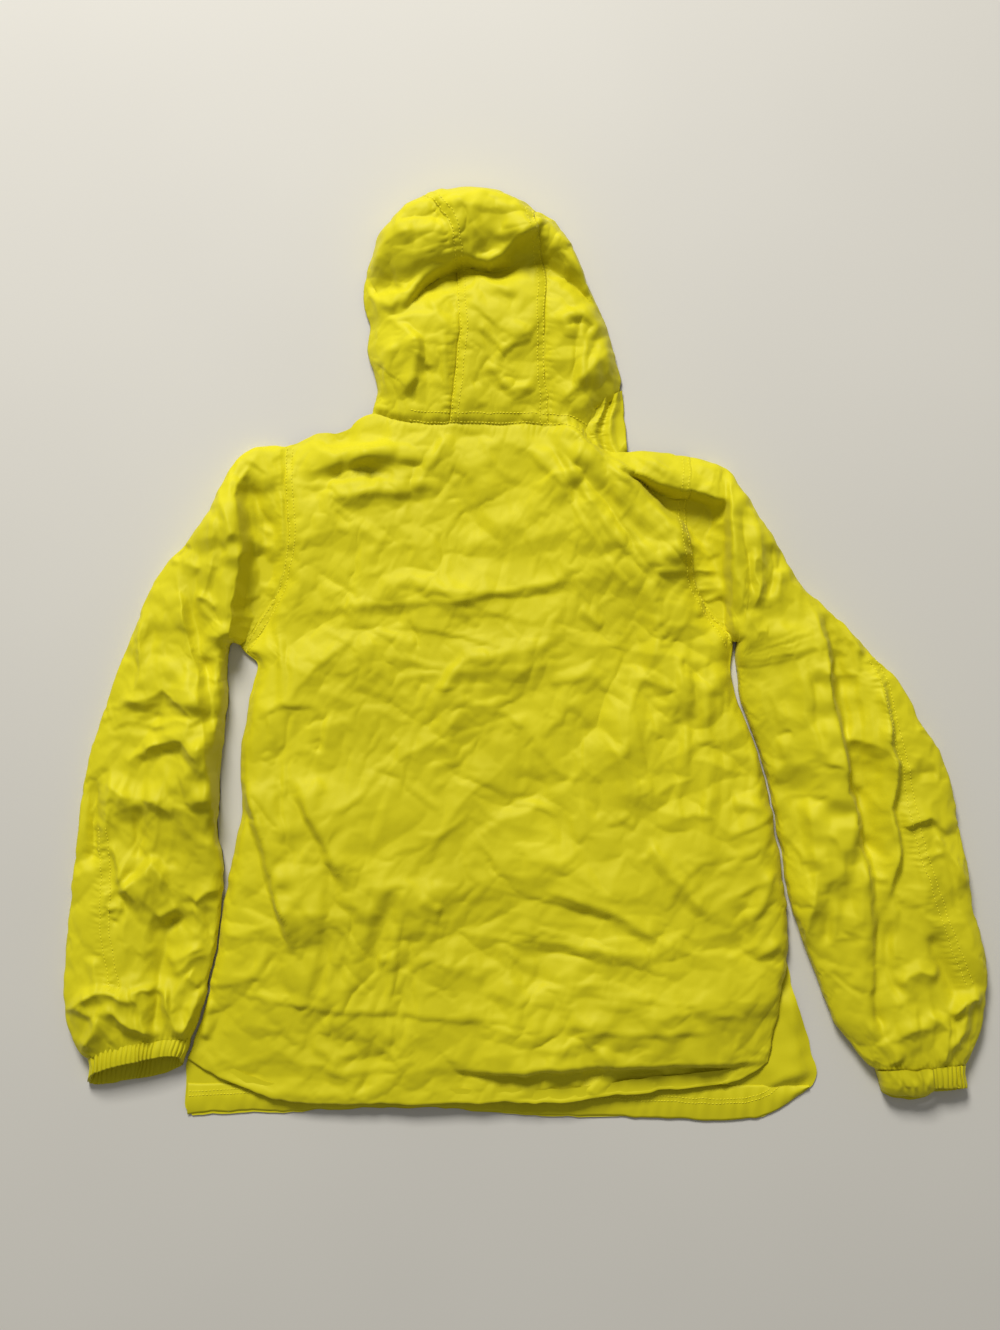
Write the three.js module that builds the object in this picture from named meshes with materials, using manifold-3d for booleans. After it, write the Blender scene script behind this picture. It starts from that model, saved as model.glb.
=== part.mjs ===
// A hooded pullover windbreaker laid face down on a flat surface: the front lies on the surface,
// the back on the front, the sleeves fold down beside the body and the hood lies spread above it.
// Millimetres, +Z up, +Y towards the hood, +X towards the sleeve on the right of the view from above.
// The origin is under the middle of the laid-out jacket.
import * as THREE from "three";
import { mergeVertices } from "three/addons/utils/BufferGeometryUtils.js";
import Module from "manifold-3d";

const WALL = 1.8; // the cloth with its turnings
const SEAM_GAP = 0.35; // between two panels at their seam
const HOOD_CASING = 24; // width of the casing round the face opening
const CUFF_WALL = 3; // elastic with the cloth gathered over it
const CLOTH = new THREE.Color().setRGB(0.74, 0.69, 0.03);
const CLOTH_ROUGHNESS = 0.55;

// Grid steps, so that neighbouring panels share the points of their seam.
const SIDE_STEPS = 17; // hem to armpit
const ARMHOLE_STEPS = 14; // armpit to shoulder
const SHOULDER_LEFT_STEPS = 7;
const NECK_LEFT_STEPS = 6;
const NECK_CENTRE_STEPS = 8;
const NECK_RIGHT_STEPS = 5;
const NECK_END_STEPS = 3;
const SHOULDER_RIGHT_STEPS = 5;
const HOOD_STEPS = 14; // neck to crown
const EDGE_SHARES = [0, 0.012, 0.032, 0.062]; // finer columns beside the body's side folds

// Turns rows of numbers into records with named columns.
function rows(columns, ...values) {
  const names = columns.split(" ");
  return values.map((row) => Object.fromEntries(names.map((name, k) => [name, row[k]])));
}

// Edges of the panels. z is the height of the panel's inner face along the edge.
const SIDE_LEFT = rows(
  "x y z",
  [-337, -408, 2.4],
  [-318, -348, 2.4],
  [-308.5, -298, 2.4],
  [-301, -248, 2.4],
  [-295, -216, 2.4],
  [-283, -160, 2.4],
  [-285, -116, 2.4],
  [-275, -43, 2.4],
  [-268, -12, 3],
  [-272, 0, 4.2],
  [-284, 7, 4.2],
);
const ARMHOLE_LEFT = rows(
  "x y z",
  [-284, 7, 4.2],
  [-264, 38, 9],
  [-246, 72, 13],
  [-238, 112, 14],
  [-238, 152, 13],
  [-240, 186, 9],
  [-240, 207, 4.2],
);
const SHOULDER_LEFT = rows(
  "x y z",
  [-240, 207, 4.2],
  [-225, 211, 3],
  [-212, 217, 2.6],
  [-180, 221, 2.6],
  [-170, 230, 4],
  [-153, 238, 7],
);
const NECK_LEFT = rows("x y z", [-153, 238, 7], [-125, 231, 13], [-75, 226, 16]);
const NECK_CENTRE = rows("x y z", [-75, 226, 16], [-25, 225, 17], [23, 226, 16]);
const NECK_RIGHT = rows("x y z", [23, 226, 16], [48, 220, 16], [66, 207, 13]);
const NECK_END = rows("x y z", [66, 207, 13], [85, 201, 10], [103, 200, 5]);
const SHOULDER_RIGHT = rows("x y z", [103, 200, 5], [130, 201, 5], [165, 196, 4.2]);
const ARMHOLE_RIGHT = rows(
  "x y z",
  [207, 10, 4.2],
  [187, 42, 8],
  [172, 67, 9.5],
  [165, 107, 9],
  [163, 150, 9.5],
  [164, 176, 15],
  [165, 196, 4.2],
);
const SIDE_RIGHT = rows(
  "x y z",
  [243, -412, 4.6],
  [249, -378, 4.6],
  [256, -338, 4.6],
  [260, -298, 4.6],
  [257, -248, 2.6],
  [251, -208, 2.4],
  [243, -150, 2.4],
  [235, -113, 2.4],
  [224, -76, 2.4],
  [213, -46, 2.4],
  [206, -18, 3],
  [207, 10, 4.2],
);
const HEM_BACK = rows(
  "x y z",
  [-337, -408, 2.4],
  [-310, -425, 4.2],
  [-275, -439, 7.5],
  [-225, -449, 11],
  [-105, -450, 13.5],
  [-25, -449, 13.5],
  [45, -448, 13],
  [95, -442, 11],
  [155, -437, 8],
  [215, -428, 5.8],
  [243, -412, 4.6],
);
// The front's outline below the armpits, left side up to down, hem, right side down to up.
const FRONT_BELOW = rows(
  "x y",
  [-339, -414],
  [-341, -430],
  [-341, -456],
  [-334, -466],
  [-175, -459],
  [-105, -458],
  [-5, -465],
  [75, -467],
  [240, -467],
  [258, -458],
  [275, -445],
  [292, -430],
  [287, -398],
  [283, -378],
  [274, -353],
  [265, -323],
  [261, -298],
);
const FRONT_NECK = rows("x y", [84, 188], [40, 176], [-30, 170], [-90, 184], [-135, 214]);
// Part of the front that is turned over at the right side and shows its outside.
const FRONT_TURNED = rows(
  "x y",
  [291, -430],
  [286, -398],
  [282, -378],
  [273, -353],
  [264, -323],
  [260, -299],
  [247, -299],
  [238, -360],
  [232, -430],
);
const CASING_TOP = -434; // the line of stitching above the front's hem casing
const CASING_BOTTOM = rows(
  "x y",
  [-339, -464],
  [-175, -458],
  [-105, -457],
  [-5, -464],
  [75, -466],
  [240, -466],
  [286, -436],
);
const CASING_PUCKERS = 36;
const PUCKER_HEIGHT = 0.8;

const HOOD_SEAM_LEFT = rows(
  "x y z",
  [-75, 226, 16],
  [-70, 272, 21],
  [-66, 322, 27],
  [-67, 355, 25],
  [-69, 384, 16],
  [-71, 400, 36],
  [-76, 420, 46],
  [-88, 438, 40],
  [-99, 449, 22],
  [-105, 454, 2.2],
);
const HOOD_SEAM_RIGHT = rows(
  "x y z",
  [23, 226, 16],
  [21, 272, 21],
  [20, 322, 27],
  [20, 362, 24],
  [17, 388, 15],
  [14, 406, 34],
  [10, 422, 40],
  [9, 432, 22],
  [12, 440, 2.2],
);
const HOOD_RIM_LEFT = rows(
  "x y z",
  [-153, 238, 7],
  [-149, 250, 3],
  [-148, 268, 2.2],
  [-154, 291, 2.2],
  [-157, 307, 2.2],
  [-155, 321, 2.2],
  [-161, 345, 2.2],
  [-162, 366, 2.2],
  [-152, 397, 2.2],
  [-140, 425, 2.2],
  [-125, 440, 2.2],
);
const GATHER_EDGE = rows("x y z", [66, 207, 13], [65, 227, 13], [73, 246, 9]);
const HOOD_RIM_RIGHT = rows(
  "x y z",
  [73, 246, 9],
  [84, 253, 5],
  [97, 260, 2.2],
  [91, 292, 2.2],
  [82, 322, 2.2],
  [69, 352, 2.2],
  [50, 397, 2.2],
  [36, 423, 2.2],
);
const HOOD_TOP_LEFT = rows("x y z", [-125, 440, 2.2], [-115, 448, 2.2], [-105, 454, 2.2]);
const HOOD_TOP_CENTRE = rows(
  "x y z",
  [-105, 454, 2.2],
  [-85, 462, 2.2],
  [-41, 465, 2.2],
  [-10, 454, 2.2],
  [12, 440, 2.2],
);
const HOOD_TOP_RIGHT = rows("x y z", [12, 440, 2.2], [27, 434, 2.2], [36, 423, 2.2]);
// The gathered end of the hood's casing, which turns up beside the right shoulder.
const GATHER_RIM = rows("x y z", [103, 201, 1], [100, 232, 1], [97.5, 258, 1]);
const GATHER_TOP = rows("x y z", [73, 246, 9], [86, 253, 4], [97.5, 258, 1]);
const GATHER_COLUMNS = 4;
const GATHER_EDGE_STEPS = 4;
const GATHERS = 6;
const GATHER_DEPTH = 2.5;

// Sleeve sections from the shoulder to the cuff. a is the inner edge and b the outer one;
// height is that of the upper layer above the surface.
const SLEEVE_LEFT = rows(
  "ax ay bx by height",
  [-287, 8, -266, 207, 19],
  [-290, 9, -285, 198, 22],
  [-292, 9, -303, 168, 24],
  [-295, 7, -319, 138, 24],
  [-297, 2, -337, 111, 23],
  [-298, -8, -357, 89, 22],
  [-298, -22, -375, 60, 21],
  [-298, -38, -389, 28, 21],
  [-299, -58, -403, -6, 22],
  [-301, -82, -416, -40, 22],
  [-304, -110, -428, -78, 22],
  [-307, -142, -438, -115, 22],
  [-307, -178, -446, -160, 22],
  [-302.5, -218, -451, -206, 22],
  [-304.5, -258, -455, -250, 22],
  [-311, -300, -459, -295, 22],
  [-318.5, -338, -463, -334, 23],
  [-327, -368, -459, -370, 24],
  [-332, -382, -448, -396, 22],
  [-335, -390, -437, -406, 20],
);
const SLEEVE_RIGHT = rows(
  "ax ay bx by height",
  [212, 9, 187, 190, 22],
  [212, 6, 206, 179, 24],
  [211.5, 1, 222, 156, 25],
  [211, -6, 240, 127, 25],
  [212, -18, 258, 97, 24],
  [214.5, -32, 278, 66, 24],
  [218, -46, 301, 44, 24],
  [224, -62, 327, 18, 24],
  [231, -82, 356, -11, 24],
  [239, -106, 380, -38, 24],
  [246, -134, 398, -71, 24],
  [252, -164, 417, -102, 24],
  [258, -196, 429, -138, 24],
  [262, -228, 435, -175, 25],
  [269, -262, 442, -215, 25],
  [281, -298, 450, -258, 25],
  [295, -334, 461, -302, 26],
  [310, -368, 462, -346, 26],
  [327, -396, 457, -377, 24],
  [340, -411, 449, -398, 22],
  [350, -419, 442, -413, 20],
);
const SLEEVE_BOW_LEFT = 12; // how far the sections next to the armhole still bend with it
const SLEEVE_BOW_RIGHT = -9;
const SLEEVE_EDGE = 4.2; // height of a sleeve's folded edge
const SECTION_POWER = 2.4; // roundness of a sleeve's upper layer

// The mouth of each cuff. The upper layer's lip draws back by dip in the middle, so that the
// mouth looks open.
const CUFF_LEFT = { ax: -341, ay: -413, bx: -438, by: -431, height: 24, dip: 19, gathers: 26 };
const CUFF_RIGHT = { ax: 358, ay: -440, bx: 441, by: -437, height: 18, dip: 3, gathers: 22 };
const CUFF_RINGS = 3;
const GATHER_RELIEF = 1;
const POINTS_PER_GATHER = 2;

// Folds. A ridge is a rounded crest along the line from x0 y0 to x1 y1. A lap raises only the
// cloth on its left (side 1) or right (side -1) of that direction, and drops at the line.
const BACK_FOLDS = rows(
  "kind x0 y0 x1 y1 width height side",
  ["lap", 30, 232, 182, 88, 60, 12, -1],
  ["ridge", 128, 176, 160, 60, 20, -5, 0],
  ["ridge", -60, 195, -15, 110, 24, 4, 0],
  ["ridge", -215, 178, -30, 186, 22, -4, 0],
  ["ridge", -215, 150, -110, 160, 18, 4, 0],
  ["ridge", -190, 52, 90, 76, 20, 4, 0],
  ["ridge", 86, 95, 150, -80, 24, -5, 0],
  ["ridge", 145, 70, 190, -90, 24, 7, 0],
  ["ridge", 60, 60, 130, -190, 28, 4, 0],
  ["ridge", -85, -8, 30, 6, 22, 4, 0],
  ["ridge", -95, -75, -55, 0, 22, -3, 0],
  ["lap", -272, -130, -212, -345, 50, 7, 1],
  ["ridge", -230, -110, -178, -245, 24, 5, 0],
  ["ridge", -85, -170, -200, -400, 26, 5, 0],
  ["ridge", -128, -185, -168, -330, 20, -4, 0],
  ["ridge", -10, -200, 130, -250, 24, 4, 0],
  ["ridge", -60, -290, 150, -345, 26, -4, 0],
  ["lap", -70, -412, 238, -404, 70, 6, 1],
  ["ridge", 218, -110, 240, -320, 18, 5, 0],
);
const SLEEVE_LEFT_FOLDS = rows(
  "kind x0 y0 x1 y1 width height side",
  ["lap", -290, 195, -283, -5, 45, 8, -1],
  ["lap", -350, 110, -308, -170, 45, 6, -1],
  ["ridge", -445, -70, -330, -15, 20, 4, 0],
  ["ridge", -400, -130, -330, -75, 18, 5, 0],
  ["ridge", -435, -185, -360, -235, 18, 4, 0],
  ["ridge", -345, -170, -335, -310, 16, 4, 0],
  ["ridge", -410, -180, -415, -330, 16, -3, 0],
  ["ridge", -455, -350, -425, -400, 12, 5, 0],
  ["ridge", -415, -340, -395, -400, 12, 5, 0],
  ["ridge", -380, -335, -372, -395, 12, 5, 0],
  ["ridge", -345, -335, -345, -390, 10, 4, 0],
);
const SLEEVE_RIGHT_FOLDS = rows(
  "kind x0 y0 x1 y1 width height side",
  ["lap", 205, 180, 212, -10, 40, 8, 1],
  ["lap", 278, 60, 320, -180, 45, 7, -1],
  ["lap", 358, -60, 362, -270, 40, 6, -1],
  ["ridge", 228, 120, 255, -80, 16, 4, 0],
  ["ridge", 300, 20, 345, -70, 18, 4, 0],
  ["ridge", 330, -180, 345, -340, 18, 4, 0],
  ["ridge", 400, -160, 440, -340, 18, 4, 0],
  ["ridge", 268, -110, 300, -300, 18, 4, 0],
  ["ridge", 385, -290, 372, -390, 14, 5, 0],
  ["ridge", 420, -330, 405, -400, 12, 4, 0],
  ["ridge", 350, -340, 360, -400, 12, 4, 0],
);
const HOOD_FOLDS = rows(
  "kind x0 y0 x1 y1 width height side",
  ["ridge", -125, 400, -75, 402, 14, 7, 0],
  ["ridge", -70, 446, -25, 418, 12, 8, 0],
  ["ridge", -35, 300, 5, 262, 14, 4, 0],
  ["ridge", -140, 325, -112, 300, 12, 5, 0],
  ["ridge", -112, 305, -112, 245, 10, 6, 0],
  ["ridge", 40, 300, 75, 290, 12, 5, 0],
  ["ridge", 45, 395, 72, 330, 12, 4, 0],
);

const BACK_LEVEL = 17; // height of the back's inner face away from its edges
const HOOD_LIFT = 5; // how far the hood's panels puff up between their edges
// How each edge of a panel rises: a folded edge is round, a hem or a neckline slopes gently.
const BACK_EDGES = { left: round(32), right: round(32), bottom: slope(120), top: slope(60) };
const HOOD_EDGES = { left: round(40), right: round(40), bottom: slope(30), top: round(40) };
const FOLD_FADE = 16; // folds of the sleeves die out over this width beside an edge
const LAP_DROP = 14; // width over which a lap drops at its line

// A quarter circle: 0 at an edge, 1 from the distance radius inwards.
function round(radius) {
  return (distance) => Math.sqrt(1 - (1 - Math.min(distance / radius, 1)) ** 2);
}

function slope(width) {
  return (distance) => smoothstep(0, width, distance);
}

function smoothstep(low, high, value) {
  const t = THREE.MathUtils.clamp((value - low) / (high - low), 0, 1);
  return t * t * (3 - 2 * t);
}

// Height that a table of folds adds at the point x, y.
function foldHeight(folds, x, y) {
  let total = 0;
  for (const fold of folds) {
    const dx = fold.x1 - fold.x0;
    const dy = fold.y1 - fold.y0;
    const length = Math.hypot(dx, dy);
    const along = ((x - fold.x0) * dx + (y - fold.y0) * dy) / (length * length);
    const across = (dx * (y - fold.y0) - dy * (x - fold.x0)) / length;
    const taper = smoothstep(-0.1, 0.25, along) * smoothstep(1.1, 0.75, along);
    if (fold.kind === "ridge") {
      total += fold.height * taper * Math.exp(-((across / fold.width) ** 2));
    } else {
      const inside = across * fold.side;
      const drop = smoothstep(-LAP_DROP, LAP_DROP, inside);
      total += fold.height * taper * drop * Math.exp(-Math.max(inside, 0) / fold.width);
    }
  }
  return total;
}

function curveOf(table) {
  const points = table.map((row) => new THREE.Vector3(row.x, row.y, row.z ?? 0));
  return new THREE.CatmullRomCurve3(points, false, "centripetal");
}

// Points at equal steps along a table's curve, moved by shift. None lies lower than lowest,
// which keeps them off the layer below.
function edge(table, steps, shift = new THREE.Vector3(), lowest = WALL + SEAM_GAP) {
  return curveOf(table)
    .getSpacedPoints(steps)
    .map((point) => point.setZ(Math.max(point.z, lowest)).add(shift));
}

// Edges end to end, without repeating the points where they meet.
function joined(...edges) {
  return edges.flatMap((points, k) => (k ? points.slice(1) : points));
}

// A grid of points between four edges. across and along give each column's and row's share, and
// riseAcross shapes the height between the left and the right edge.
function patch({ bottom, top, left, right, across, along, riseAcross = (u) => u }) {
  const corners = [bottom[0], bottom.at(-1), top[0], top.at(-1)];
  return along.map((v, i) =>
    across.map((u, j) => {
      const coordinate = (axis) => {
        const share = axis === "z" ? riseAcross(u) : u;
        const sides = (1 - share) * left[i][axis] + share * right[i][axis];
        const ends = (1 - v) * bottom[j][axis] + v * top[j][axis];
        const low = (1 - share) * corners[0][axis] + share * corners[1][axis];
        const high = (1 - share) * corners[2][axis] + share * corners[3][axis];
        return sides + ends - (1 - v) * low - v * high;
      };
      return new THREE.Vector3(coordinate("x"), coordinate("y"), coordinate("z"));
    }),
  );
}

// Raises a grid's inside by what raise says for each point, leaving the four edges alone.
function lift(grid, edges, raise) {
  const last = grid.length - 1;
  const end = grid[0].length - 1;
  const plan = (p, q) => Math.hypot(p.x - q.x, p.y - q.y);
  return grid.map((row, i) =>
    row.map((point, j) => {
      const weight =
        edges.left(plan(point, row[0])) *
        edges.right(plan(point, row[end])) *
        edges.bottom(plan(point, grid[0][j])) *
        edges.top(plan(point, grid[last][j]));
      return point.clone().setZ(point.z + raise(point) * weight);
    }),
  );
}

// Unit normals of a grid, facing up. On the four edges the normal stays in the upright plane
// through the edge, so that two panels keep their gap along a shared seam.
function gridNormals(grid) {
  const last = grid.length - 1;
  const end = grid[0].length - 1;
  const up = new THREE.Vector3(0, 0, 1);
  return grid.map((row, i) =>
    row.map((point, j) => {
      const alongRow = row[Math.min(j + 1, end)].clone().sub(row[Math.max(j - 1, 0)]);
      const alongColumn = grid[Math.min(i + 1, last)][j].clone().sub(grid[Math.max(i - 1, 0)][j]);
      const onSide = j === 0 || j === end;
      const onEnd = i === 0 || i === last;
      if (onSide && onEnd) return up.clone();
      if (onSide || onEnd) {
        const tangent = (onSide ? alongColumn : alongRow).normalize();
        return up.clone().addScaledVector(tangent, -tangent.z).normalize();
      }
      return alongRow.cross(alongColumn).normalize();
    }),
  );
}

function geometryOf(points, triangles) {
  const geometry = new THREE.BufferGeometry();
  geometry.setAttribute(
    "position",
    new THREE.Float32BufferAttribute(
      points.flatMap((p) => [p.x, p.y, p.z]),
      3,
    ),
  );
  geometry.setIndex(triangles);
  return geometry;
}

// A closed wall between two grids of the same size, the lower one below the upper one.
function wallBetween(lower, upper) {
  const m = lower.length;
  const n = lower[0].length;
  const points = [...lower.flat(), ...upper.flat()];
  const low = (i, j) => i * n + j;
  const high = (i, j) => m * n + i * n + j;
  const triangles = [];
  const quad = (a, b, c, d) => triangles.push(a, b, c, a, c, d);
  for (let i = 0; i < m - 1; i++)
    for (let j = 0; j < n - 1; j++) {
      quad(high(i, j), high(i, j + 1), high(i + 1, j + 1), high(i + 1, j));
      quad(low(i, j), low(i + 1, j), low(i + 1, j + 1), low(i, j + 1));
    }
  for (let j = 0; j < n - 1; j++) {
    quad(low(0, j), low(0, j + 1), high(0, j + 1), high(0, j));
    quad(low(m - 1, j + 1), low(m - 1, j), high(m - 1, j), high(m - 1, j + 1));
  }
  for (let i = 0; i < m - 1; i++) {
    quad(low(i + 1, 0), low(i, 0), high(i, 0), high(i + 1, 0));
    quad(low(i, n - 1), low(i + 1, n - 1), high(i + 1, n - 1), high(i, n - 1));
  }
  return geometryOf(points, triangles);
}

function clothWall(grid, thickness = WALL) {
  const normals = gridNormals(grid);
  const outer = grid.map((row, i) =>
    row.map((point, j) => point.clone().addScaledVector(normals[i][j], thickness)),
  );
  return wallBetween(grid, outer);
}

// A closed tube between outer and inner rings, open at both ends.
function tubeWall(outer, inner) {
  const m = outer.length;
  const n = outer[0].length;
  const points = [...outer.flat(), ...inner.flat()];
  const out = (i, j) => i * n + (j % n);
  const into = (i, j) => m * n + i * n + (j % n);
  const triangles = [];
  const quad = (a, b, c, d) => triangles.push(a, b, c, a, c, d);
  for (let j = 0; j < n; j++) {
    for (let i = 0; i < m - 1; i++) {
      quad(out(i, j), out(i + 1, j), out(i + 1, j + 1), out(i, j + 1));
      quad(into(i, j), into(i, j + 1), into(i + 1, j + 1), into(i + 1, j));
    }
    quad(out(0, j), out(0, j + 1), into(0, j + 1), into(0, j));
    quad(out(m - 1, j + 1), out(m - 1, j), into(m - 1, j), into(m - 1, j + 1));
  }
  return geometryOf(points, triangles);
}

// Makes a tube's faces point outwards whichever way its sections run.
function facingOut(geometry) {
  const p = geometry.getAttribute("position");
  const index = geometry.getIndex();
  const corner = (k) => new THREE.Vector3().fromBufferAttribute(p, index.getX(k));
  let volume = 0;
  for (let k = 0; k < index.count; k += 3)
    volume += corner(k).dot(corner(k + 1).cross(corner(k + 2)));
  if (volume < 0)
    for (let k = 0; k < index.count; k += 3) {
      const second = index.getX(k + 1);
      index.setX(k + 1, index.getX(k + 2));
      index.setX(k + 2, second);
    }
  return geometry;
}

const LOWER_LAYER_STEP = 2; // the flat lower layer takes every second point of the upper one

// One section of a laid-flat tube. upper holds the points of the upper layer from the inner
// edge to the outer one; the lower layer lies flat below them, each point moved by its lead.
function ringPair(upper, wall, lead = () => new THREE.Vector3()) {
  const last = upper.length - 1;
  const inwards = upper[last].clone().sub(upper[0]).setZ(0).normalize();
  const inset = (k) => wall * (1 - (2 * k) / last);
  const lower = [];
  for (let k = last; k >= 0; k -= LOWER_LAYER_STEP) lower.push(k);
  const flat = (k, z) => upper[k].clone().add(lead(k)).setZ(z);
  return {
    outer: [...upper, ...lower.map((k) => flat(k, 0))],
    inner: [
      ...upper.map((point, k) => {
        const moved = point.clone().addScaledVector(inwards, inset(k));
        return moved.setZ(Math.max(point.z - wall, wall + SEAM_GAP));
      }),
      ...lower.map((k) => flat(k, wall).addScaledVector(inwards, inset(k))),
    ],
  };
}

// Height of a laid-flat tube's upper layer across its width: 0 at both edges, 1 in the middle.
function flattenedRound(share) {
  return (1 - Math.abs(2 * share - 1) ** SECTION_POWER) ** (1 / SECTION_POWER);
}

// The upper layer of one sleeve section, with the sleeve's folds.
function sleeveSection(section, bow, folds, foldShare) {
  const a = new THREE.Vector3(section.ax, section.ay, 0);
  const b = new THREE.Vector3(section.bx, section.by, 0);
  const width = a.distanceTo(b);
  const aside = new THREE.Vector3(b.y - a.y, a.x - b.x, 0).normalize();
  return Array.from({ length: ARMHOLE_STEPS + 1 }, (_, k) => {
    const s = (1 - Math.cos((Math.PI * k) / ARMHOLE_STEPS)) / 2;
    const point = a.clone().lerp(b, s).addScaledVector(aside, bow * 4 * s * (1 - s));
    const fade = round(FOLD_FADE)(Math.min(s, 1 - s) * width) * foldShare;
    const raised = foldHeight(folds, point.x, point.y) * fade;
    return point.setZ(SLEEVE_EDGE + (section.height - SLEEVE_EDGE) * flattenedRound(s) + raised);
  });
}

function sleeve(armhole, sections, bow, folds, shift) {
  const first = edge(armhole, ARMHOLE_STEPS, shift).map((p) => p.setZ(p.z + WALL));
  const pairs = [ringPair(first, WALL)];
  sections.forEach((section, k) => {
    const bent = bow * Math.max(0, 1 - k / 2);
    const foldShare = smoothstep(-1, 3, k) * smoothstep(sections.length - 1, sections.length - 3, k);
    pairs.push(ringPair(sleeveSection(section, bent, folds, foldShare), WALL));
  });
  return facingOut(
    tubeWall(
      pairs.map((pair) => pair.outer),
      pairs.map((pair) => pair.inner),
    ),
  );
}

// An elastic cuff, gathered on its upper side: a short tube from the sleeve's end to its mouth.
function cuff(sleeveEnd, mouth) {
  const steps = mouth.gathers * POINTS_PER_GATHER;
  const inner = new THREE.Vector3(mouth.ax - sleeveEnd.ax, mouth.ay - sleeveEnd.ay, 0);
  const outer = new THREE.Vector3(mouth.bx - sleeveEnd.bx, mouth.by - sleeveEnd.by, 0);
  const down = inner.add(outer).normalize();
  const pairs = Array.from({ length: CUFF_RINGS }, (_, i) => {
    const t = i / (CUFF_RINGS - 1);
    const at = (name) => THREE.MathUtils.lerp(sleeveEnd[name], mouth[name], t);
    const apart = down.clone().multiplyScalar(SEAM_GAP * (1 - t));
    const a = new THREE.Vector3(at("ax"), at("ay"), 0).add(apart);
    const b = new THREE.Vector3(at("bx"), at("by"), 0).add(apart);
    const drawnBack = (k) => mouth.dip * t * flattenedRound(k / steps);
    const upper = Array.from({ length: steps + 1 }, (_unused, k) => {
      const arch = flattenedRound(k / steps);
      const wave = Math.cos((2 * Math.PI * k) / POINTS_PER_GATHER) * smoothstep(0, 0.3, arch);
      const height = (at("height") - 2 * CUFF_WALL) * arch + GATHER_RELIEF * wave;
      const point = a.clone().lerp(b, k / steps).addScaledVector(down, -drawnBack(k));
      return point.setZ(2 * CUFF_WALL + height);
    });
    return ringPair(upper, CUFF_WALL, (k) => down.clone().multiplyScalar(drawnBack(k)));
  });
  return facingOut(
    tubeWall(
      pairs.map((pair) => pair.outer),
      pairs.map((pair) => pair.inner),
    ),
  );
}

// A flat sheet of the outline's shape, from z to z plus thickness.
function sheet(outline, thickness, z = 0) {
  const shape = new THREE.Shape(outline.map((p) => new THREE.Vector2(p.x, p.y)));
  return new THREE.ExtrudeGeometry(shape, { depth: thickness, bevelEnabled: false }).translate(0, 0, z);
}

const wasm = await Module();
wasm.setup();

function solidOf(geometry) {
  const bare = geometry.clone();
  bare.deleteAttribute("normal");
  bare.deleteAttribute("uv");
  const merged = mergeVertices(bare, 1e-4);
  const mesh = new wasm.Mesh({
    numProp: 3,
    vertProperties: new Float32Array(merged.getAttribute("position").array),
    triVerts: new Uint32Array(merged.getIndex().array),
  });
  return new wasm.Manifold(mesh);
}

// Two overlapping solids as one.
function fused(first, second) {
  const mesh = solidOf(first).add(solidOf(second)).getMesh();
  const geometry = new THREE.BufferGeometry();
  geometry.setAttribute("position", new THREE.BufferAttribute(mesh.vertProperties, 3));
  geometry.setIndex(new THREE.BufferAttribute(mesh.triVerts, 1));
  return geometry;
}

const RIGHTWARDS = new THREE.Vector3(SEAM_GAP, 0, 0);
const LEFTWARDS = new THREE.Vector3(-SEAM_GAP, 0, 0);
const HOODWARDS = new THREE.Vector3(0, SEAM_GAP, 0);

// The points shared by the back and the front along an armhole, from armpit to shoulder.
function armholeEdge(armhole) {
  return edge(armhole, ARMHOLE_STEPS);
}

function front() {
  const lower = (points) => points.filter((_, k) => k % LOWER_LAYER_STEP === 0);
  const clearOfCorner = FRONT_BELOW.at(-1).y + 4;
  const outline = [
    ...lower(armholeEdge(ARMHOLE_LEFT)).reverse(),
    ...edge(SIDE_LEFT, SIDE_STEPS).reverse().slice(1, -1),
    ...FRONT_BELOW,
    ...edge(SIDE_RIGHT, SIDE_STEPS).filter((p) => p.y > clearOfCorner).slice(0, -1),
    ...lower(armholeEdge(ARMHOLE_RIGHT)),
    ...edge(SHOULDER_RIGHT, SHOULDER_RIGHT_STEPS).reverse().slice(1),
    ...FRONT_NECK,
    ...edge(SHOULDER_LEFT, SHOULDER_LEFT_STEPS).reverse().slice(0, -1),
  ];
  const overlap = 0.2;
  return fused(sheet(outline, WALL), sheet(FRONT_TURNED, WALL + overlap, WALL - overlap));
}

// The casing turned up inside the front's hem, puckered by its stitching.
function frontHem() {
  const columns = CASING_PUCKERS * POINTS_PER_GATHER;
  const base = WALL + SEAM_GAP;
  const heights = [0, 0.5, 1]; // shares of the casing's width, from its folded edge up
  const folded = curveOf(CASING_BOTTOM).getPoints(columns);
  const grid = (rise) =>
    heights.map((share) =>
      folded.map((point, k) => {
        const pucker = (1 - Math.cos((2 * Math.PI * CASING_PUCKERS * k) / columns)) / 2;
        const middle = 1 - Math.abs(2 * share - 1);
        const z = base + rise * (WALL + PUCKER_HEIGHT * pucker * middle);
        return new THREE.Vector3(point.x, THREE.MathUtils.lerp(point.y, CASING_TOP, share), z);
      }),
    );
  return wallBetween(grid(0), grid(1));
}

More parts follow.
